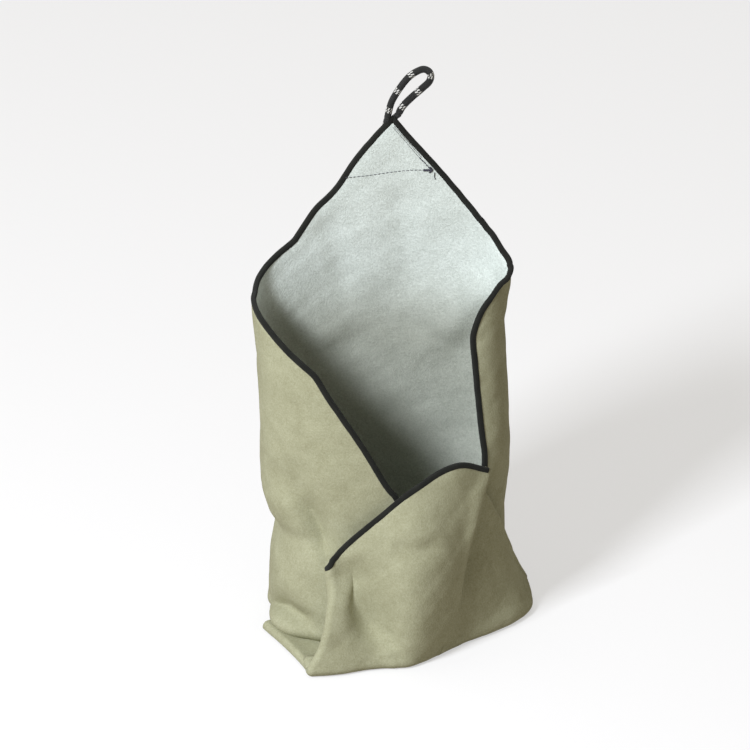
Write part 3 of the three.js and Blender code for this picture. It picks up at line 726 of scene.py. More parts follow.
def cord_material():
    material, tree, surface = tree_of("braided_cord")
    run, round_share = along_and_round(tree)
    ways = []
    for sign in (1, -1):
        wind = math_node(tree, "MULTIPLY", run, 1 / BRAID_PITCH * sign)
        phase = math_node(tree, "MULTIPLY_ADD", round_share, 1.0, wind)
        ways.append(wave(tree, phase, BRAID_STRANDS))
    over = math_node(tree, "MAXIMUM", ways[0], ways[1])
    fuzz = noise(tree, object_place(tree), 2200.0, 2.0, 0.6)
    height = math_node(tree, "MULTIPLY_ADD", fuzz, 0.5, over)
    tone = spread(tree, height, -0.8, 1.5)
    black = blend_colours(tree, tone, linear(9, 9, 9), linear(40, 40, 38))
    ring = math_node(tree, "ADD", run, FLECK_RING_PITCH * 1.5 - FLECK_RING_START)
    ring = math_node(tree, "MODULO", ring, FLECK_RING_PITCH)
    ring = math_node(tree, "SUBTRACT", ring, FLECK_RING_PITCH / 2)
    rows = []
    for middle, phase in ((-FLECK_LENGTH / 2, 0.0), (FLECK_LENGTH / 2, 0.5)):
        from_middle = math_node(tree, "ABSOLUTE", math_node(tree, "SUBTRACT", ring, middle))
        in_row = math_node(tree, "LESS_THAN", from_middle, FLECK_LENGTH * 0.48)
        turned = math_node(tree, "MULTIPLY_ADD", round_share, FLECKS_ROUND, phase + 10)
        turned = math_node(tree, "MULTIPLY_ADD", ring, FLECK_SLANT, turned)
        strand = math_node(tree, "LESS_THAN", math_node(tree, "FRACT", turned), FLECK_SHARE)
        rows.append(math_node(tree, "MULTIPLY", in_row, strand))
    fleck = math_node(tree, "MAXIMUM", rows[0], rows[1])
    colour = blend_colours(tree, fleck, black, linear(226, 226, 220))
    fill(tree, surface, {
        "Base Color": colour, "Normal": bumped(tree, height, 0.7, 0.0005), "Roughness": 0.62,
        "Specular IOR Level": 0.35,
    })
    return material


# Sewing thread: twisted plies

def thread_material():
    material, tree, surface = tree_of("dark_thread")
    twist = noise(tree, object_place(tree), 1500.0, 2.0, 0.6)
    tone = spread(tree, twist, 0.35, 0.65)
    fill(tree, surface, {
        "Base Color": blend_colours(tree, tone, linear(34, 34, 44), linear(66, 66, 76)),
        "Normal": bumped(tree, twist, 0.4, 0.0002), "Roughness": 0.7,
    })
    return material


# Each visible piece's finish, by the record's material slot

FINISHES = {
    "outer_suede": suede, "lining_fleece": fleece, "binding_tape": tape_material(),
    "braided_cord": cord_material(), "sewing_thread": thread_material(),
}


def finish_piece(piece, slot, move, nodes=()):
    """A piece's material, the body it moves with, and the model's nodes it stands for; given a fold
    instead of a body, the piece only has its transform baked.
    """
    if not piece.data.materials:
        piece.data.materials.append(FINISHES[slot])
    if isinstance(move, str):
        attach(piece, move)
    else:
        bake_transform(piece)
    if nodes:
        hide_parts(*nodes)


# Round sections along a line

def line_rings(points, radii, sides, up):
    points = np.asarray(points, float)
    tangent = unit(np.gradient(points, axis=0))
    side = unit(np.cross(tangent, up))
    lift = np.cross(side, tangent)
    turn = 2 * math.pi * np.arange(sides) / sides
    radii = np.broadcast_to(radii, len(points))[:, None, None]
    spokes = side[:, None] * np.cos(turn)[None, :, None] + lift[:, None] * np.sin(turn)[None, :, None]
    return points[:, None] + radii * spokes


FINE_STEPS = 40


def centripetal(points, count):
    """Evenly spaced places on a centripetal Catmull-Rom curve, as the model's loop is drawn."""
    points = np.asarray(points, float)
    more = padded(points)
    fine = []
    for i in range(len(points) - 1):
        a, b, c, d = more[i:i + 4]
        steps = [np.linalg.norm(q - p) ** 0.5 for p, q in ((a, b), (b, c), (c, d))]
        start = steps[1] * ((b - a) / steps[0] - (c - a) / (steps[0] + steps[1]) + (c - b) / steps[1])
        end = steps[1] * ((c - b) / steps[1] - (d - b) / (steps[1] + steps[2]) + (d - c) / steps[2])
        for t in np.linspace(0, 1, FINE_STEPS, endpoint=False):
            fine.append(
                b + start * t + (3 * (c - b) - 2 * start - end) * t**2 + (2 * (b - c) + start + end) * t**3
            )
    fine.append(points[-1])
    fine = np.array(fine)
    length = run_along(fine)
    even = np.linspace(0, length[-1], count)
    return np.stack([np.interp(even, length, fine[:, k]) for k in range(3)], axis=-1), length[-1]


# Hanging loop

LEFT_LEG = -6.0
RIGHT_LEG = 2.3
MODEL_TAPE_OUTSIDE = 1.3
CORD_SIDES = 20
CORD_STEPS = 170
tape_crest = MODEL_TIP_HEIGHT + MODEL_TAPE_OUTSIDE * math.sqrt(2)
left_leg_foot = tape_crest + LEFT_LEG + CORD_END_DIAMETER / 2 + CORD_CLEARANCE
right_leg_foot = tape_crest + CORD_CLEARANCE
loop_top = left_leg_foot + LOOP_HEIGHT
LOOP_ROUTE = [
    (LEFT_LEG, left_leg_foot), (LEFT_LEG + 0.4, left_leg_foot + 2), (-4.2, left_leg_foot + 9.3),
    (-2.5, left_leg_foot + 15.4), (0.4, left_leg_foot + 21.6), (LOOP_LEAN - 19.7, loop_top - 11.6),
    (LOOP_LEAN - 15.8, loop_top - 6.6), (LOOP_LEAN - 11.4, loop_top - 2.8),
    (LOOP_LEAN - 5.2, loop_top), (LOOP_LEAN - 1.4, loop_top - 1.5), (LOOP_LEAN + 0.3, loop_top - 5),
    (LOOP_LEAN - 0.6, loop_top - 10), (LOOP_LEAN - 5.9, loop_top - 16), (12.1, left_leg_foot + 19.1),
    (5.6, left_leg_foot + 11.5), (RIGHT_LEG + 1, right_leg_foot + 2.4), (RIGHT_LEG, right_leg_foot),
]
loop_points = np.array([(x, TIP_DEPTH, z) for x, z in LOOP_ROUTE])
loop_line, loop_length = centripetal(loop_points, CORD_STEPS)


def round_ended(length, count, radius):
    """Radii along a cord whose two ends are round."""
    from_end = np.minimum(np.arange(count), np.arange(count)[::-1]) * length / (count - 1)
    inside = np.clip(1 - from_end / radius, 0, 1)
    return radius * np.sqrt(np.maximum(1 - inside**2, 0.01))


cord_radius = CORD_DIAMETER / 2
loop = tube("hanging_loop", line_rings(
    loop_line, round_ended(loop_length, CORD_STEPS, cord_radius) * np.linspace(1, 1.08, CORD_STEPS),
    CORD_SIDES, [0, 1, 0],
))
finish_piece(loop, "braided_cord", "loop", ["loop_cord"])
loop_path = [tuple(point) for point in ((loop_line[::5] + PLACE_SHIFT) * MM).tolist()]
loop_path.append(tuple(((loop_line[-1] + PLACE_SHIFT) * MM).tolist()))

# The loop's two ends, sewn in behind the corner's tape; each meets its leg in a ball
STUB_STEPS = 26
STUB_ROUTE = [(0, 0), (1.5, 1.6), (4.5, 3.4), (9, 3.7), (15, 3.0)]
for stub_name, foot_point, leg_point in (
    ("loop_end_left", loop_line[0], loop_line[10]), ("loop_end_right", loop_line[-1], loop_line[-16]),
):
    way = unit(foot_point - leg_point)
    back = np.array([0, 1.0, 0])
    stub_points = [foot_point - way * cord_radius]
    stub_points += [foot_point + way * run + back * behind for run, behind in STUB_ROUTE]
    stub_line, stub_length = centripetal(stub_points, STUB_STEPS)
    stub_radii = round_ended(stub_length, STUB_STEPS, cord_radius) * np.linspace(1, 0.72, STUB_STEPS)
    stub = tube(stub_name, line_rings(stub_line, stub_radii, CORD_SIDES, [1, 0, 0]))
    finish_piece(stub, "braided_cord", "top_flap")


# The wall: back, left wing, top flap and right wing as one grid of columns along the bound edge

CELL = 2.2
WALL_ROWS = 165
WALL_TURN_HEIGHT = 8.0
WALL_TURN_RADIUS = 6.0
WALL_FOOT_LIFT = 3.0
FOOT_LEG = 12.0
OUTER_LOW = -0.3
PLY_GAP = 0.02
LEVEL_FOR_SPACING = 180.0


def evenly(places, step):
    """Shares of the way along a line of places, evenly spaced by about step."""
    length = run_along(places)
    count = max(int(round(length[-1] / step)), 2)
    return np.linspace(0, length[-1], count + 1), length


def even_angles(first, last):
    fine = np.linspace(first, last, 800)
    even, length = evenly(wall_place(fine, LEVEL_FOR_SPACING + 0 * fine), CELL)
    return np.interp(even, length, fine)


def edge_height(angle):
    """The height of the bound edge on the wall at an angle."""
    x = wall_place(np.array([angle]), np.array([TOP_FOLD_HEIGHT]))[0, 0]
    heights = np.linspace(TOP_FOLD_HEIGHT, TIP_HEIGHT, 200)
    if angle < LEFT_FOLD_ANGLE:
        return float(left_wing_edge(-angle))
    if x < TIP_ACROSS:
        return float(np.interp(x, top_left_edge(heights), heights))
    return float(np.interp(-x, -top_right_edge(heights), heights))


up_shares = np.linspace(0, 1, WALL_ROWS + 1)
angles = np.concatenate([
    even_angles(LEFT_WING_END_ANGLE, LEFT_FOLD_ANGLE)[:-1],
    even_angles(LEFT_FOLD_ANGLE, TIP_ANGLE)[:-1], even_angles(TIP_ANGLE, RIGHT_FOLD_ANGLE),
])
tops = np.array([edge_height(angle) for angle in angles])
foot_turn = WALL_TURN_HEIGHT + WALL_FOOT_LIFT * smooth_step(85, 110, -angles)
heights = mix(foot_turn[None], tops[None], up_shares[:, None])
wall_columns = wall_place(np.broadcast_to(angles, heights.shape), heights)
wing_shares, wing_length = evenly(
    right_wing_place(np.linspace(0, 1, 200), np.array([200.0]))[0], CELL,
)
wing_shares = np.interp(wing_shares, wing_length, np.linspace(0, 1, 200))[1:]
wing_heights = mix(WALL_TURN_HEIGHT, TOP_FOLD_HEIGHT, up_shares)
wing_columns = right_wing_place(wing_shares, wing_heights)
wall_grid = np.concatenate([wall_columns, wing_columns], axis=1)
WALL_SIDE = -1

PLEAT = [(279, 500), (285, 515), (293, 532), (302, 550), (313, 571), (324, 590)]
PLEAT_LEAN = (5.5, 0.0, 1.5)
WALL_FOLDS = [
    (PLEAT, (8, 10), 3.5),
    ([(272, 456), (285, 478), (296, 498), (306, 517), (315, 535), (326, 556)], (20, 12), -6.0),
    ([(295, 500), (303, 514), (311, 529), (319, 543), (328, 558)], (10, 7), -6.0),
    ([(290, 580), (303, 597), (318, 612)], 7, 2.0),
    ([(268, 600), (277, 606), (287, 613), (299, 621), (311, 628)], (9, 5), -8.0),
    ([(251, 606), (264, 614), (280, 622), (296, 630), (310, 636)], 7, 8.0),
]
LINING_FOLDS = [
    ([(258, 292), (285, 303), (315, 322), (345, 346)], (26, 14), -5.0),
    ([(500, 276), (480, 292), (458, 314), (438, 338)], (14, 26), -7.0),
    ([(396, 175), (403, 230), (405, 300)], 14, 3.0),
    ([(322, 212), (337, 250), (346, 300)], 10, 2.5),
]
RIPPLE_DEPTH = 0.7
PLEAT_WIDTH = (10, 12)


def front_share(grid):
    """1 on the wrap's front, 0 on its back."""
    return smooth_step(5, -5, grid[..., 1])


def dressed(grid, side, front_folds, back_folds):
    """The grid with its folds and a slow ripple; folds count as seen from the front or the back."""
    is_front = front_share(grid)
    height = relief(grid, front_folds) * is_front + relief(grid, back_folds) * (1 - is_front)
    return lifted(grid, side, height + RIPPLE_DEPTH * ripple(grid))


pleat_share = soft_line(picture_place(wall_grid), PLEAT, PLEAT_WIDTH) * front_share(wall_grid)
wall_grid = dressed(wall_grid, WALL_SIDE, WALL_FOLDS, LINING_FOLDS)
wall_grid += pleat_share[..., None] * np.array(PLEAT_LEAN)
wall_grid[0, :, 2] = np.append(foot_turn, np.full(len(wing_shares), WALL_TURN_HEIGHT))


# Pieces of cloth made from grids

LEAST_FILL = 0.31
FOLD_START = (0, 0.0675, 0.298)
FOLD_END = (0, 0.0675, 0.330)
# The front flap's hinge line, from its foot to 100 mm up
HINGE_START = (0, -0.07, 0.001)
HINGE_END = (0, -0.07, 0.100)


def grid_size(grid):
    """Longest row, longest column and area of a grid, in metres."""
    rows = np.linalg.norm(np.diff(grid, axis=1), axis=-1)
    columns = np.linalg.norm(np.diff(grid, axis=0), axis=-1)
    across, up = np.diff(grid, axis=1)[:-1], np.diff(grid, axis=0)[:, :-1]
    area = np.linalg.norm(np.cross(across, up), axis=-1).sum()
    return rows.sum(axis=1).max() * MM, columns.sum(axis=0).max() * MM, area * MM * MM


def cloth_piece(piece, slot, nodes, move, grid):
    finish_piece(piece, slot, move, nodes)
    width, length, area = grid_size(grid)
    area = min(max(area, LEAST_FILL * width * length), width * length)


def two_layers(name, grid, side, edges, panels, move):
    """The outer and lining layers of a grid, which stand for the model's plies of its panels."""
    half = pinch(grid, edges) if edges else HALF_CLOTH
    outer = cloth_layer(name + "_outer", grid, side, OUTER_LOW, half)
    lining = cloth_layer(name + "_lining", grid, side, -half, OUTER_LOW - PLY_GAP)
    for piece, slot, plies in (
        (outer, "outer_suede", ("outer_", "padding_")), (lining, "lining_fleece", ("lining_",)),
    ):
        nodes = [ply + panel for ply in plies for panel in panels]
        cloth_piece(piece, slot, nodes, move, grid)


FOLD_MOVE = ("root", "top_flap", FOLD_START, FOLD_END)
HINGE_MOVE = ("root", "front_flap", HINGE_START, HINGE_END)

tip_column = int(np.argmax(tops))
wall_edges = [wall_grid[-1], wall_grid[:, 0], wall_grid[:, -1]]
wall_full = with_margin(
    wall_grid, "foot", WALL_SIDE, WALL_TURN_RADIUS, 90, FOOT_LEG, is_level=True,
)
two_layers(
    "wall", wall_full, WALL_SIDE, wall_edges, ("back", "left_wing", "right_wing", "top_flap"),
    FOLD_MOVE,
)


# Base: its rim lies inside the rounded feet of the wall and flap

BASE_LIFT = 0.15
BASE_INSET = (0.92, 0.90)
BASE_MIDDLE = (1.0, -22.0)
BASE_FRONT = [
    (-50, -88), (-36, -92), (-18, -89.5), (6, -85), (22, -73), (37, -58), (67, -34), (95, -10), (99, 4),
]
BASE_RIGHT = [(99, 4), (97, 27), (80, 44)]
BASE_BACK = [(-84, 40), (-50, 53), (0, 55), (40, 54), (80, 44)]
BASE_LEFT = [(-50, -88), (-62, -66), (-78, -46), (-94, -20), (-97, 12), (-84, 40)]


def between_curves(front, right, back, left, count):
    """A grid of flat places inside four curves that meet at their ends."""
    share = np.linspace(0, 1, count)
    front, right, back, left = (along(curve, share) for curve in (front, right, back, left))
    u, v = share[None, :, None], share[:, None, None]
    ruled = (1 - v) * front[None] + v * back[None] + (1 - u) * left[:, None] + u * right[:, None]
    near = (1 - u) * (1 - v) * front[0] + u * (1 - v) * front[-1]
    corners = near + (1 - u) * v * back[0] + u * v * back[-1]
    return ruled - corners


base_flat = between_curves(BASE_FRONT, BASE_RIGHT, BASE_BACK, BASE_LEFT, 60)
base_flat = (base_flat - BASE_MIDDLE) * BASE_INSET + BASE_MIDDLE
base_grid = np.concatenate([base_flat, np.full(base_flat.shape[:2] + (1,), HALF_CLOTH)], axis=-1)
base_outer = cloth_layer("base_outer", base_grid, -1, OUTER_LOW, HALF_CLOTH - BASE_LIFT)
base_top = HALF_CLOTH - BASE_LIFT + 0.35 * ripple(base_grid * 1.6) - 0.35
base_lining = cloth_layer("base_lining", base_grid, -1, -base_top, OUTER_LOW - PLY_GAP)
cloth_piece(base_outer, "outer_suede", ("outer_base", "padding_base"), "root", base_grid)
cloth_piece(base_lining, "lining_fleece", ("lining_base",), "root", base_grid)


# Gusset between the left wing and the base, its outer rim a rounded lip

GUSSET_FOOT = 2.4
GUSSET_LENGTH = 74.0
GUSSET_WIDTH = 24.0
GUSSET_CELL = 1.5
GUSSET_LIP_LEG = 0.8
GUSSET_LIP_RADIUS = 1.8
GUSSET_LIP_TURN = 110.0
GUSSET_ROWS = [
    [(-95, -28.5, 2.4), (-91, -35.5, 2.4), (-82.6, -50, 2.4), (-73.6, -67, 2.4), (-66.2, -82.5, 2.4),
     (-61, -95, 2.4)],
    [(-94, -27.5, 2.2), (-88, -33, 2), (-78.5, -44.5, 1.4), (-68.5, -58.5, 0.9), (-60.5, -72, 0.5),
     (-54, -84, 0.3)],
    [(-92, -25, 1), (-84, -28, 0.6), (-71, -38, 0.2), (-59, -48, 0), (-51, -59, 0),
     (-46, -72, 0)],
]


def even_shares(length, step=CELL):
    return np.linspace(0, 1, max(int(round(length / step)), 2) + 1)


gusset_grid = sheet_through(
    np.array(GUSSET_ROWS, float) + [0, 0, GUSSET_FOOT],
    even_shares(GUSSET_LENGTH, GUSSET_CELL), even_shares(GUSSET_WIDTH, GUSSET_CELL),
)
gusset_grid = with_margin(gusset_grid, "foot", 1, GUSSET_LIP_RADIUS, GUSSET_LIP_TURN, GUSSET_LIP_LEG)
two_layers("gusset", gusset_grid, 1, None, ("left_gusset",), "root")


# Front flap, its left margin folded behind it and its right edge folded over the side roll

FLAP_ROWS = [
    [(-61.5, -101.5, 0), (-42, -98, 0), (-18.5, -90.5, 0), (5.5, -87.5, 0), (20.5, -74.5, 0),
     (35.5, -61, 0)],
    [(-50.5, -93, 20.4), (-37, -92.5, 23.4), (-16, -87, 25.4), (9, -82.5, 26.4), (27, -71, 26.4),
     (42, -58, 26.4)],
    [(-45.7, -86, 43.4), (-33, -87, 51.4), (-12, -82, 57.4), (13, -77.5, 61.4), (32, -67.5, 62.4),
     (48, -55, 61.4)],
    [(-45.7, -80.5, 60.4), (-32, -80, 77.4), (-9, -75, 90.4), (16, -70.5, 99.4), (38, -61, 103.4),
     (57, -47, 100.4)],
    [(-47, -78, 81), (-35, -74.8, 95.6), (-9, -68.4, 118.4), (15, -64.8, 138.4), (45, -55, 151.4),
     (69, -39, 138.4)],
]
ROLL_ROWS = [
    [(29.5, -67, 0), (50.8, -49.5, 0), (71.3, -34.7, 0), (91.8, -17.2, 0), (101, -1, 0), (98, 27, 0)],
    [(37, -61, 26.4), (57, -45, 25.4), (72, -32, 23.4), (87, -16, 20.4), (93, 2, 13.4),
     (96.8, 26, 3.4)],
    [(44, -57.5, 61.4), (60, -45, 57.4), (71, -34, 51.4), (81, -19, 43.4), (88.5, 1, 27.4),
     (96.4, 25, 5.4)],
    [(52, -51, 95.4), (65, -40, 90.4), (73, -32, 81.4), (78.6, -19, 66.4), (85, 0, 40.4),
     (96, 24.5, 7.4)],
    [(58, -46, 121.4), (67, -38, 114.4), (74, -30, 101.4), (79, -18, 79.4), (85, -1, 47.4),
     (95.7, 24, 9.4)],
]
FLAP_WIDTH = 130.0
FLAP_LENGTH = 150.0
ROLL_WIDTH = 120.0
ROLL_LENGTH = 120.0
FOOT_TURN_HEIGHT = 5.6
FOOT_TURN_RADIUS = 3.6
FLAP_LEG = 14.0
TUCK_RADIUS = 2.6
TUCK_COLUMNS = 9
TUCK_DROP = 1.1
TUCK_LOWEST = 9.0
LIP_RADIUS = 2.4
LIP_TURN = 125.0
LIP_LEG = 2.0
ROLL_RIM_RADIUS = 2.3
ROLL_RIM_ROWS = 4
FLAP_CREST = ([(403, 674), (409, 640), (415, 600), (417, 560), (412, 525), (402, 498)], (26, 30), 9.5)
FLAP_FOLDS = [
    FLAP_CREST,
    ([(329, 576), (330, 595), (330, 620), (321, 655)], 8, 4.5),
    ([(341, 558), (347, 574), (353, 592), (361, 610), (372, 630), (388, 654)], (19, 13), -15.0),
    ([(388, 628), (394, 640), (399, 652)], (4, 7), -2.5),
    ([(390, 541), (412, 546), (438, 540)], (8, 9), -3.0),
    ([(482, 478), (474, 510), (467, 545)], 5, 2.0),
]
ROLL_FOLDS = [
    FLAP_CREST,
    ([(480, 505), (470, 540), (463, 575), (459, 596)], (9, 7), -4.0),
    ([(500, 530), (505, 560), (508, 585)], 14, 0.8),
    ([(460, 640), (490, 626), (520, 610)], 6, 2.0),
]


def hand_columns(rows, shares):
    rows = np.array(rows, float) + [0, 0, FOOT]
    return along(rows.transpose(1, 0, 2), shares)


flap_up = even_shares(FLAP_LENGTH)
flap_grid = raised(hand_columns(FLAP_ROWS, even_shares(FLAP_WIDTH)), flap_up, FOOT_TURN_HEIGHT)
flap_grid = dressed(flap_grid, 1, FLAP_FOLDS, [])
flap_grid[0, :, 2] = FOOT_TURN_HEIGHT
flap_top = flap_grid[-1].copy()
flap_full = with_margin(flap_grid, "foot", 1, FOOT_TURN_RADIUS, 90, FLAP_LEG, is_level=True)
flap_full = folded_back(flap_full, "start", 1, TUCK_RADIUS, TUCK_COLUMNS)
past_fold = np.arange(TUCK_COLUMNS + TURN_STEPS)[::-1] + 1
tuck_drop = np.minimum(past_fold * TUCK_DROP, TUCK_LOWEST)
tuck_share = smooth_step(20, 70, flap_full[:, :len(tuck_drop), 2])
flap_full[:, :len(tuck_drop), 2] -= tuck_drop * tuck_share
flap_tape_columns = slice(TUCK_COLUMNS + TURN_STEPS - 5, flap_full.shape[1])
flap_tape_points = flap_full[-1, flap_tape_columns].copy()
flap_tape_inner = flap_full[-3, flap_tape_columns].copy()
flap_tape_out = cloth_normals(flap_full, 1)[-1, flap_tape_columns]
lip_radii = LIP_RADIUS * mix(0.3, 1, smooth_step(0.2, 0.55, flap_up))
lip_radii = np.concatenate([np.full(len(flap_full) - len(lip_radii), lip_radii[0]), lip_radii])
flap_full = with_margin(flap_full, "end", 1, lip_radii, LIP_TURN, LIP_LEG)
two_layers(
    "front_flap", flap_full, 1, [flap_top], ("front_flap", "front_tuck"), HINGE_MOVE,
)

roll_shares = even_shares(ROLL_WIDTH)
roll_up = even_shares(ROLL_LENGTH)
roll_grid = raised(hand_columns(ROLL_ROWS, roll_shares), roll_up, FOOT_TURN_HEIGHT)
flush = np.maximum(
    smooth_step(0.3, 0.85, roll_shares)[None, :], smooth_step(0.6, 0.2, roll_up)[:, None],
)
roll_grid = lifted(roll_grid, 1, -mix(LAYER_PITCH, 0.0, flush))
roll_grid = dressed(roll_grid, 1, ROLL_FOLDS, [])
roll_grid[0, :, 2] = FOOT_TURN_HEIGHT
roll_full = with_margin(roll_grid, "foot", 1, FOOT_TURN_RADIUS, 90, FLAP_LEG, is_level=True)
roll_full = folded_back(roll_full, "top", 1, ROLL_RIM_RADIUS, ROLL_RIM_ROWS)
two_layers("side_roll", roll_full, 1, None, ("side_roll",), HINGE_MOVE)


# Binding tape, folded over the edges

TAPE_SIDES = 20
TAPE_POWER = 0.75
CORNER_CLEAR = 4.6
SHARP_TURN = 0.8
CORNER_TAPE_SHARE = 0.8
tape_half_width = (TAPE_REACH + TAPE_OUTSIDE) / 2
tape_middle = (TAPE_REACH - TAPE_OUTSIDE) / 2


def without_crowding(points, marks):
    """Indices of the points to keep: those near a marked point would fold over it."""
    keep = np.ones(len(points), bool)
    for mark in marks:
        near = np.linalg.norm(points - points[mark], axis=-1) < CORNER_CLEAR
        keep &= ~near
    for mark in marks:
        keep[mark] = True
    return np.flatnonzero(keep)


def tape_along(name, points, inner, out, nodes, move, mitre_start=None, mitre_end=None):
    """Tape along an edge; inner is a point inside the cloth beside each, out its outer direction."""
    steps = unit(np.diff(points, axis=0))
    bend = np.sum(steps[:-1] * steps[1:], axis=-1)
    marks = [int(k) + 1 for k in np.flatnonzero(bend < SHARP_TURN)]
    marks += [0] if mitre_start is not None else []
    marks += [len(points) - 1] if mitre_end is not None else []
    keep = without_crowding(points, marks)
    points, inner, out = points[keep], inner[keep], out[keep]
    steps = unit(np.diff(points, axis=0))
    before = np.concatenate([steps[:1], steps])
    after = np.concatenate([steps, steps[-1:]])
    tangent = unit(before + after)
    out = unit(out - tangent * np.sum(out * tangent, axis=-1, keepdims=True))
    inward = np.cross(out, tangent)
    inward *= np.sign(np.sum(inward * (inner - points), axis=-1, keepdims=True))
    widen = 1 / np.maximum(np.sum(tangent * after, axis=-1), 0.6)
    turn = 2 * math.pi * np.arange(TAPE_SIDES) / TAPE_SIDES
    across, lift = (np.sign(part) * np.abs(part) ** TAPE_POWER for part in (np.cos(turn), np.sin(turn)))
    across = across * tape_half_width + tape_middle
    lift = lift * TAPE_HALF_THICKNESS
    rings = (
        points[:, None] + inward[:, None] * across[None, :, None] * widen[:, None, None]
        + out[:, None] * lift[None, :, None]
    )
    for ring, plane in ((0, mitre_start), (-1, mitre_end)):
        if plane is not None:
            shift = (plane - rings[ring][:, 0]) / tangent[ring][0]
            rings[ring] += shift[:, None] * tangent[ring]
    finish_piece(tube(name, rings), "binding_tape", move, nodes)


wall_out = cloth_normals(wall_grid, WALL_SIDE)
wall_inner = wall_grid[-3]
TIP_SPLIT = 0.05
left_part = slice(0, tip_column + 1)
tape_along(
    "binding_left", wall_grid[-1, left_part], wall_inner[left_part], wall_out[-1, left_part],
    ("binding_left_wing", "binding_top_left"), FOLD_MOVE, mitre_end=TIP_ACROSS - TIP_SPLIT,
)
right_points = np.concatenate([wall_grid[-1, tip_column:], wall_grid[-2::-1, -1]])
right_inner = np.concatenate([wall_inner[tip_column:-1], wall_grid[-3:-2, -3], wall_grid[-2::-1, -3]])
right_out = np.concatenate([wall_out[-1, tip_column:], wall_out[-2::-1, -1]])
tape_along(
    "binding_right", right_points, right_inner, right_out,
    ("binding_top_right", "binding_right_wing"), FOLD_MOVE, mitre_start=TIP_ACROSS + TIP_SPLIT,
)
corner_top = int(WALL_ROWS * CORNER_TAPE_SHARE)
tape_along(
    "binding_left_corner", wall_grid[:corner_top, 0], wall_grid[:corner_top, 2], wall_out[:corner_top, 0],
    ("binding_left_corner",), "root",
)
tape_along(
    "binding_front", flap_tape_points, flap_tape_inner, flap_tape_out, ("binding_front",), "front_flap",
)


# Patch on the outer side of the top corner

PATCH_DROP_LEFT = 50.0
PATCH_DROP_RIGHT = 44.0
PATCH_MARGIN = TAPE_REACH + 0.6
PATCH_THICKNESS = 0.7


def back_place(x, height):
    """The wall's middle surface behind a place seen from the front, above or below the fold."""
    reach = np.where(x < 0, left_reach(height), right_reach(height))
    power = np.where(x < 0, BACK_LEFT_POWER, BACK_RIGHT_POWER)
    depth = back_reach(height) * np.maximum(1 - (np.abs(x) / reach) ** power, 0) ** (1 / power)
    return np.stack([x, depth, height], axis=-1)


across = np.linspace(0, 1, 36)[None]
up = np.linspace(0, 1, 20)[:, None]
share = mix(0.06, 0.94, across)
patch_heights = mix(
    TIP_HEIGHT - mix(PATCH_DROP_LEFT, PATCH_DROP_RIGHT, share), TIP_HEIGHT - 3.2 * PATCH_MARGIN, up,
)
patch_left = top_left_edge(patch_heights) + PATCH_MARGIN * math.sqrt(2)
patch_right = top_right_edge(patch_heights) - PATCH_MARGIN * math.sqrt(2)
patch_grid = back_place(mix(patch_left, patch_right, across), patch_heights)
patch_grid = dressed(patch_grid, WALL_SIDE, [], LINING_FOLDS)
rim = distance_to(patch_grid, [patch_grid[0], patch_grid[-1], patch_grid[:, 0], patch_grid[:, -1]])
patch_high = HALF_CLOTH + PATCH_THICKNESS * mix(0.3, 1, smooth_step(0, 2.0, rim))
patch_seat = distance_to(patch_grid, [wall_grid[-1]])
patch_high -= PINCH_DEPTH * np.exp(-((patch_seat / PINCH_WIDTH) ** 2))
patch = cloth_layer("corner_patch_cloth", patch_grid, WALL_SIDE, patch_high - 1.2, patch_high)
cloth_piece(patch, "outer_suede", ("corner_patch",), FOLD_MOVE, patch_grid)


# Stitches: one thread bump repeated along a line

STITCH_NODES = {
    "line": "GeometryNodeMeshToCurve", "spaced": "GeometryNodeResampleCurve",
    "ball": "GeometryNodeMeshUVSphere", "smooth": "GeometryNodeSetShadeSmooth",
    "place": "GeometryNodeInstanceOnPoints", "way": "GeometryNodeInputTangent",
    "turn": "FunctionNodeAlignRotationToVector", "size": "ShaderNodeCombineXYZ",
    "real": "GeometryNodeRealizeInstances", "finish": "GeometryNodeSetMaterial",
}
STITCH_LINKS = [
    ("given", "Line", "line", "Mesh"), ("line", "Curve", "spaced", "Curve"),
    ("given", "Pitch", "spaced", "Length"), ("ball", "Mesh", "smooth", "Geometry"),
    ("spaced", "Curve", "place", "Points"), ("smooth", "Geometry", "place", "Instance"),
    ("way", "Tangent", "turn", "Vector"), ("turn", "Rotation", "place", "Rotation"),
    ("given", "Thread width", "size", "X"), ("given", "Thread width", "size", "Y"),
    ("given", "Stitch length", "size", "Z"), ("size", "Vector", "place", "Scale"),
    ("place", "Instances", "real", "Geometry"), ("real", "Geometry", "finish", "Geometry"),
    ("given", "Thread", "finish", "Material"), ("finish", "Geometry", "result", "Stitches"),
]


def stitch_group():
    group, given, result = new_group("stitch_row", "GeometryNodeTree", [
        ("Line", "Geometry", None), ("Pitch", "Float", None), ("Stitch length", "Float", None),
        ("Thread width", "Float", None), ("Thread", "Material", None),
    ], [("Stitches", "Geometry", None)])
    nodes = {name: group.nodes.new(kind) for name, kind in STITCH_NODES.items()}
    nodes.update(given=given, result=result)
    nodes["spaced"].mode = "LENGTH"
    nodes["turn"].axis = "Z"
    for name, value in (("Segments", 10), ("Rings", 7), ("Radius", 0.5)):
        nodes["ball"].inputs[name].default_value = value
    for start, output, end, entry in STITCH_LINKS:
        group.links.new(nodes[start].outputs[output], nodes[end].inputs[entry])
    return group


STITCH_ROW = stitch_group()


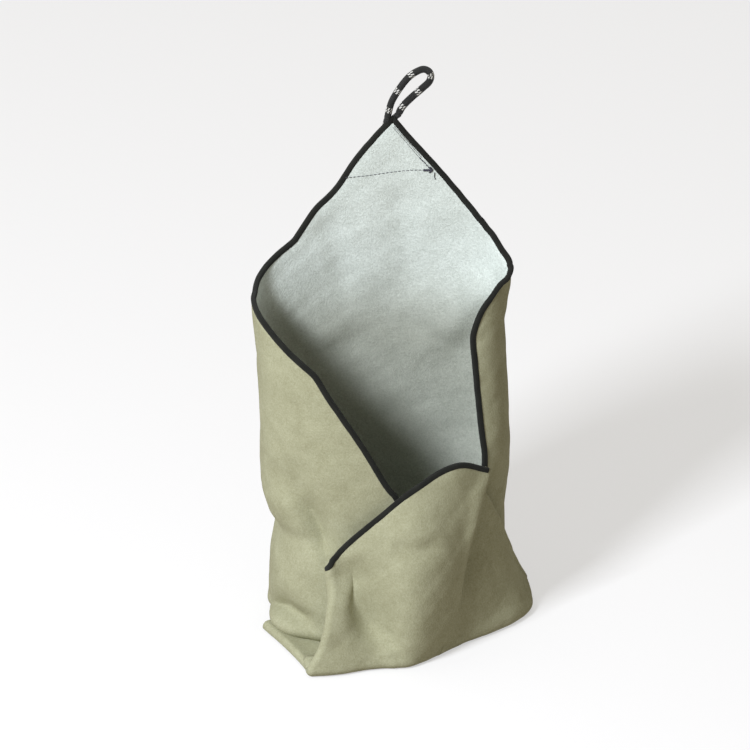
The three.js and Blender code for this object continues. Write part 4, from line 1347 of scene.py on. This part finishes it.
def stitches(name, lines, pitch, length, width):
    """Rows of stitches along lines of places, as one plain mesh."""
    vertices, edges = [], []
    for line in lines:
        edges += [(len(vertices) + k, len(vertices) + k + 1) for k in range(len(line) - 1)]
        vertices += list(line)
    mesh = bpy.data.meshes.new(name + "_line")
    mesh.from_pydata((np.array(vertices) + PLACE_SHIFT) * MM, edges, [])
    maker = placed(name + "_line", mesh)
    modifier = maker.modifiers.new("stitches", "NODES")
    modifier.node_group = STITCH_ROW
    values = {
        "Pitch": pitch * MM, "Stitch length": length * MM, "Thread width": width * MM,
        "Thread": FINISHES["sewing_thread"],
    }
    for item in STITCH_ROW.interface.items_tree:
        if item.item_type == "SOCKET" and item.in_out == "INPUT" and item.name in values:
            modifier[item.identifier] = values[item.name]
    seen_objects = bpy.context.evaluated_depsgraph_get()
    made_mesh = bpy.data.meshes.new_from_object(maker.evaluated_get(seen_objects))
    made = placed(name, made_mesh)
    bpy.data.objects.remove(maker)
    made.data.name = name
    return made


SETTLING_ROUNDS = 12
STITCH_LIFT = HALF_CLOTH + 0.15


def on_lining(pixels, lift=STITCH_LIFT):
    """Places on the lining of the flap under a line of pixels, lifted towards the viewer."""
    line = along(seen(pixels), np.linspace(0, 1, LINE_STEPS))
    height = line[:, 1] - slope * TIP_DEPTH
    for _ in range(SETTLING_ROUNDS):
        place = back_place(line[:, 0], height)
        dent = relief(place, LINING_FOLDS) + RIPPLE_DEPTH * ripple(place)
        depth = place[:, 1] + dent - lift
        height = line[:, 1] - slope * depth
    return np.stack([line[:, 0], depth, height], axis=-1)


seam_line = on_lining(
    [(346.6, 178), (367, 176), (388, 173), (400.5, 171.5), (413, 170.5), (428, 170.6)],
)
bar_line = on_lining([(424, 170.6), (431.5, 170.8)])
head_line = on_lining([(430.8, 168), (432.4, 170.6), (430.8, 172.8)])
tack_rows = [bar_line + [0, 0, rise] for rise in (-0.6, 0.0, 0.6)]
tack_rows += [head_line, head_line - [1.0, 0, 0]]
short_line = on_lining([(420, 158.8), (425.5, 164.4), (431, 170.6)])
side_lines = [
    on_lining([(394.5, 127.5), (408, 142.5), (420.5, 157)]),
    on_lining([(393.3, 128.5), (406.5, 143.5), (419, 158)]),
]
tail_line = on_lining([(434.5, 173), (434.2, 176), (435.3, 180)], STITCH_LIFT + 0.2)
patch_seam_line = lifted(patch_grid, WALL_SIDE, patch_high + 0.1)[1, 1:-1]

for piece, *nodes in (
    (stitches("corner_seam", [seam_line], 2.9, 2.7, 0.5), "corner_stitching"),
    (stitches("corner_bar_tack", tack_rows, 0.9, 1.4, 0.75), "bar_tack"),
    (stitches("edge_stitches", side_lines, 1.9, 1.9, 0.28),),
    (stitches("short_stitches", [short_line], 2.4, 2.5, 0.85),),
    (tube("thread_tail", line_rings(tail_line, 0.25, 8, [0, 1, 0])),),
    (stitches("patch_seam", [patch_seam_line], 2.6, 2.3, 0.7),),
):
    finish_piece(piece, "sewing_thread", FOLD_MOVE, nodes)


# Floor, lights and background

def lamp(name, place, power, size, colour=(1, 1, 1)):
    data = bpy.data.lights.new(name, "AREA")
    data.energy = power
    data.shape = "RECTANGLE"
    data.size, data.size_y = size, size
    data.color = colour
    made = placed(name, data)
    made.location = Vector(place)
    aim = Vector((0, 0, 0.16)) - made.location
    made.rotation_euler = aim.to_track_quat("-Z", "Y").to_euler()
    return made


FLOOR_REACH = 6.0
lamp("key", (-1.38, -1.64, 2.0), power=90, size=0.6, colour=(0.97, 1.0, 1.07))
lamp("top", (0.0, 0.35, 2.3), power=7, size=1.4)

floor_mesh = bpy.data.meshes.new("floor")
floor_corners = [(x * FLOOR_REACH, y * FLOOR_REACH, 0) for x, y in ((-1, -1), (1, -1), (1, 1), (-1, 1))]
floor_mesh.from_pydata(floor_corners, [], [(0, 1, 2, 3)])
floor = placed("floor", floor_mesh)
pale, pale_tree, pale_surface = tree_of("pale_floor")
floor_seen = seen_directly(pale_tree)
fill(pale_tree, pale_surface, {
    "Base Color": blend_colours(pale_tree, floor_seen, (0.49, 0.45, 0.39, 1), (0.45, 0.45, 0.45, 1)),
    "Emission Color": (1, 1, 1, 1),
    "Emission Strength": math_node(pale_tree, "MULTIPLY", floor_seen, 0.52),
    "Roughness": 0.9, "Specular IOR Level": 0.1,
})
floor.data.materials.append(pale)

world = bpy.data.worlds.new("studio")
bpy.context.scene.world = world
world.use_nodes = True
sky = world.node_tree
sky.nodes.clear()
direct = seen_directly(sky)
soft = add_node(sky, "ShaderNodeBackground", sockets={"Color": (1.1, 0.98, 0.8, 1), "Strength": 0.22})
white = add_node(sky, "ShaderNodeBackground", sockets={"Color": (1, 1, 1, 1), "Strength": 1.0})
both = add_node(sky, "ShaderNodeMixShader", sockets={
    0: direct, 1: soft.outputs["Background"], 2: white.outputs["Background"],
})
out = sky.nodes.new("ShaderNodeOutputWorld")
sky.links.new(both.outputs["Shader"], out.inputs["Surface"])

bpy.context.scene.view_settings.view_transform = "Standard"
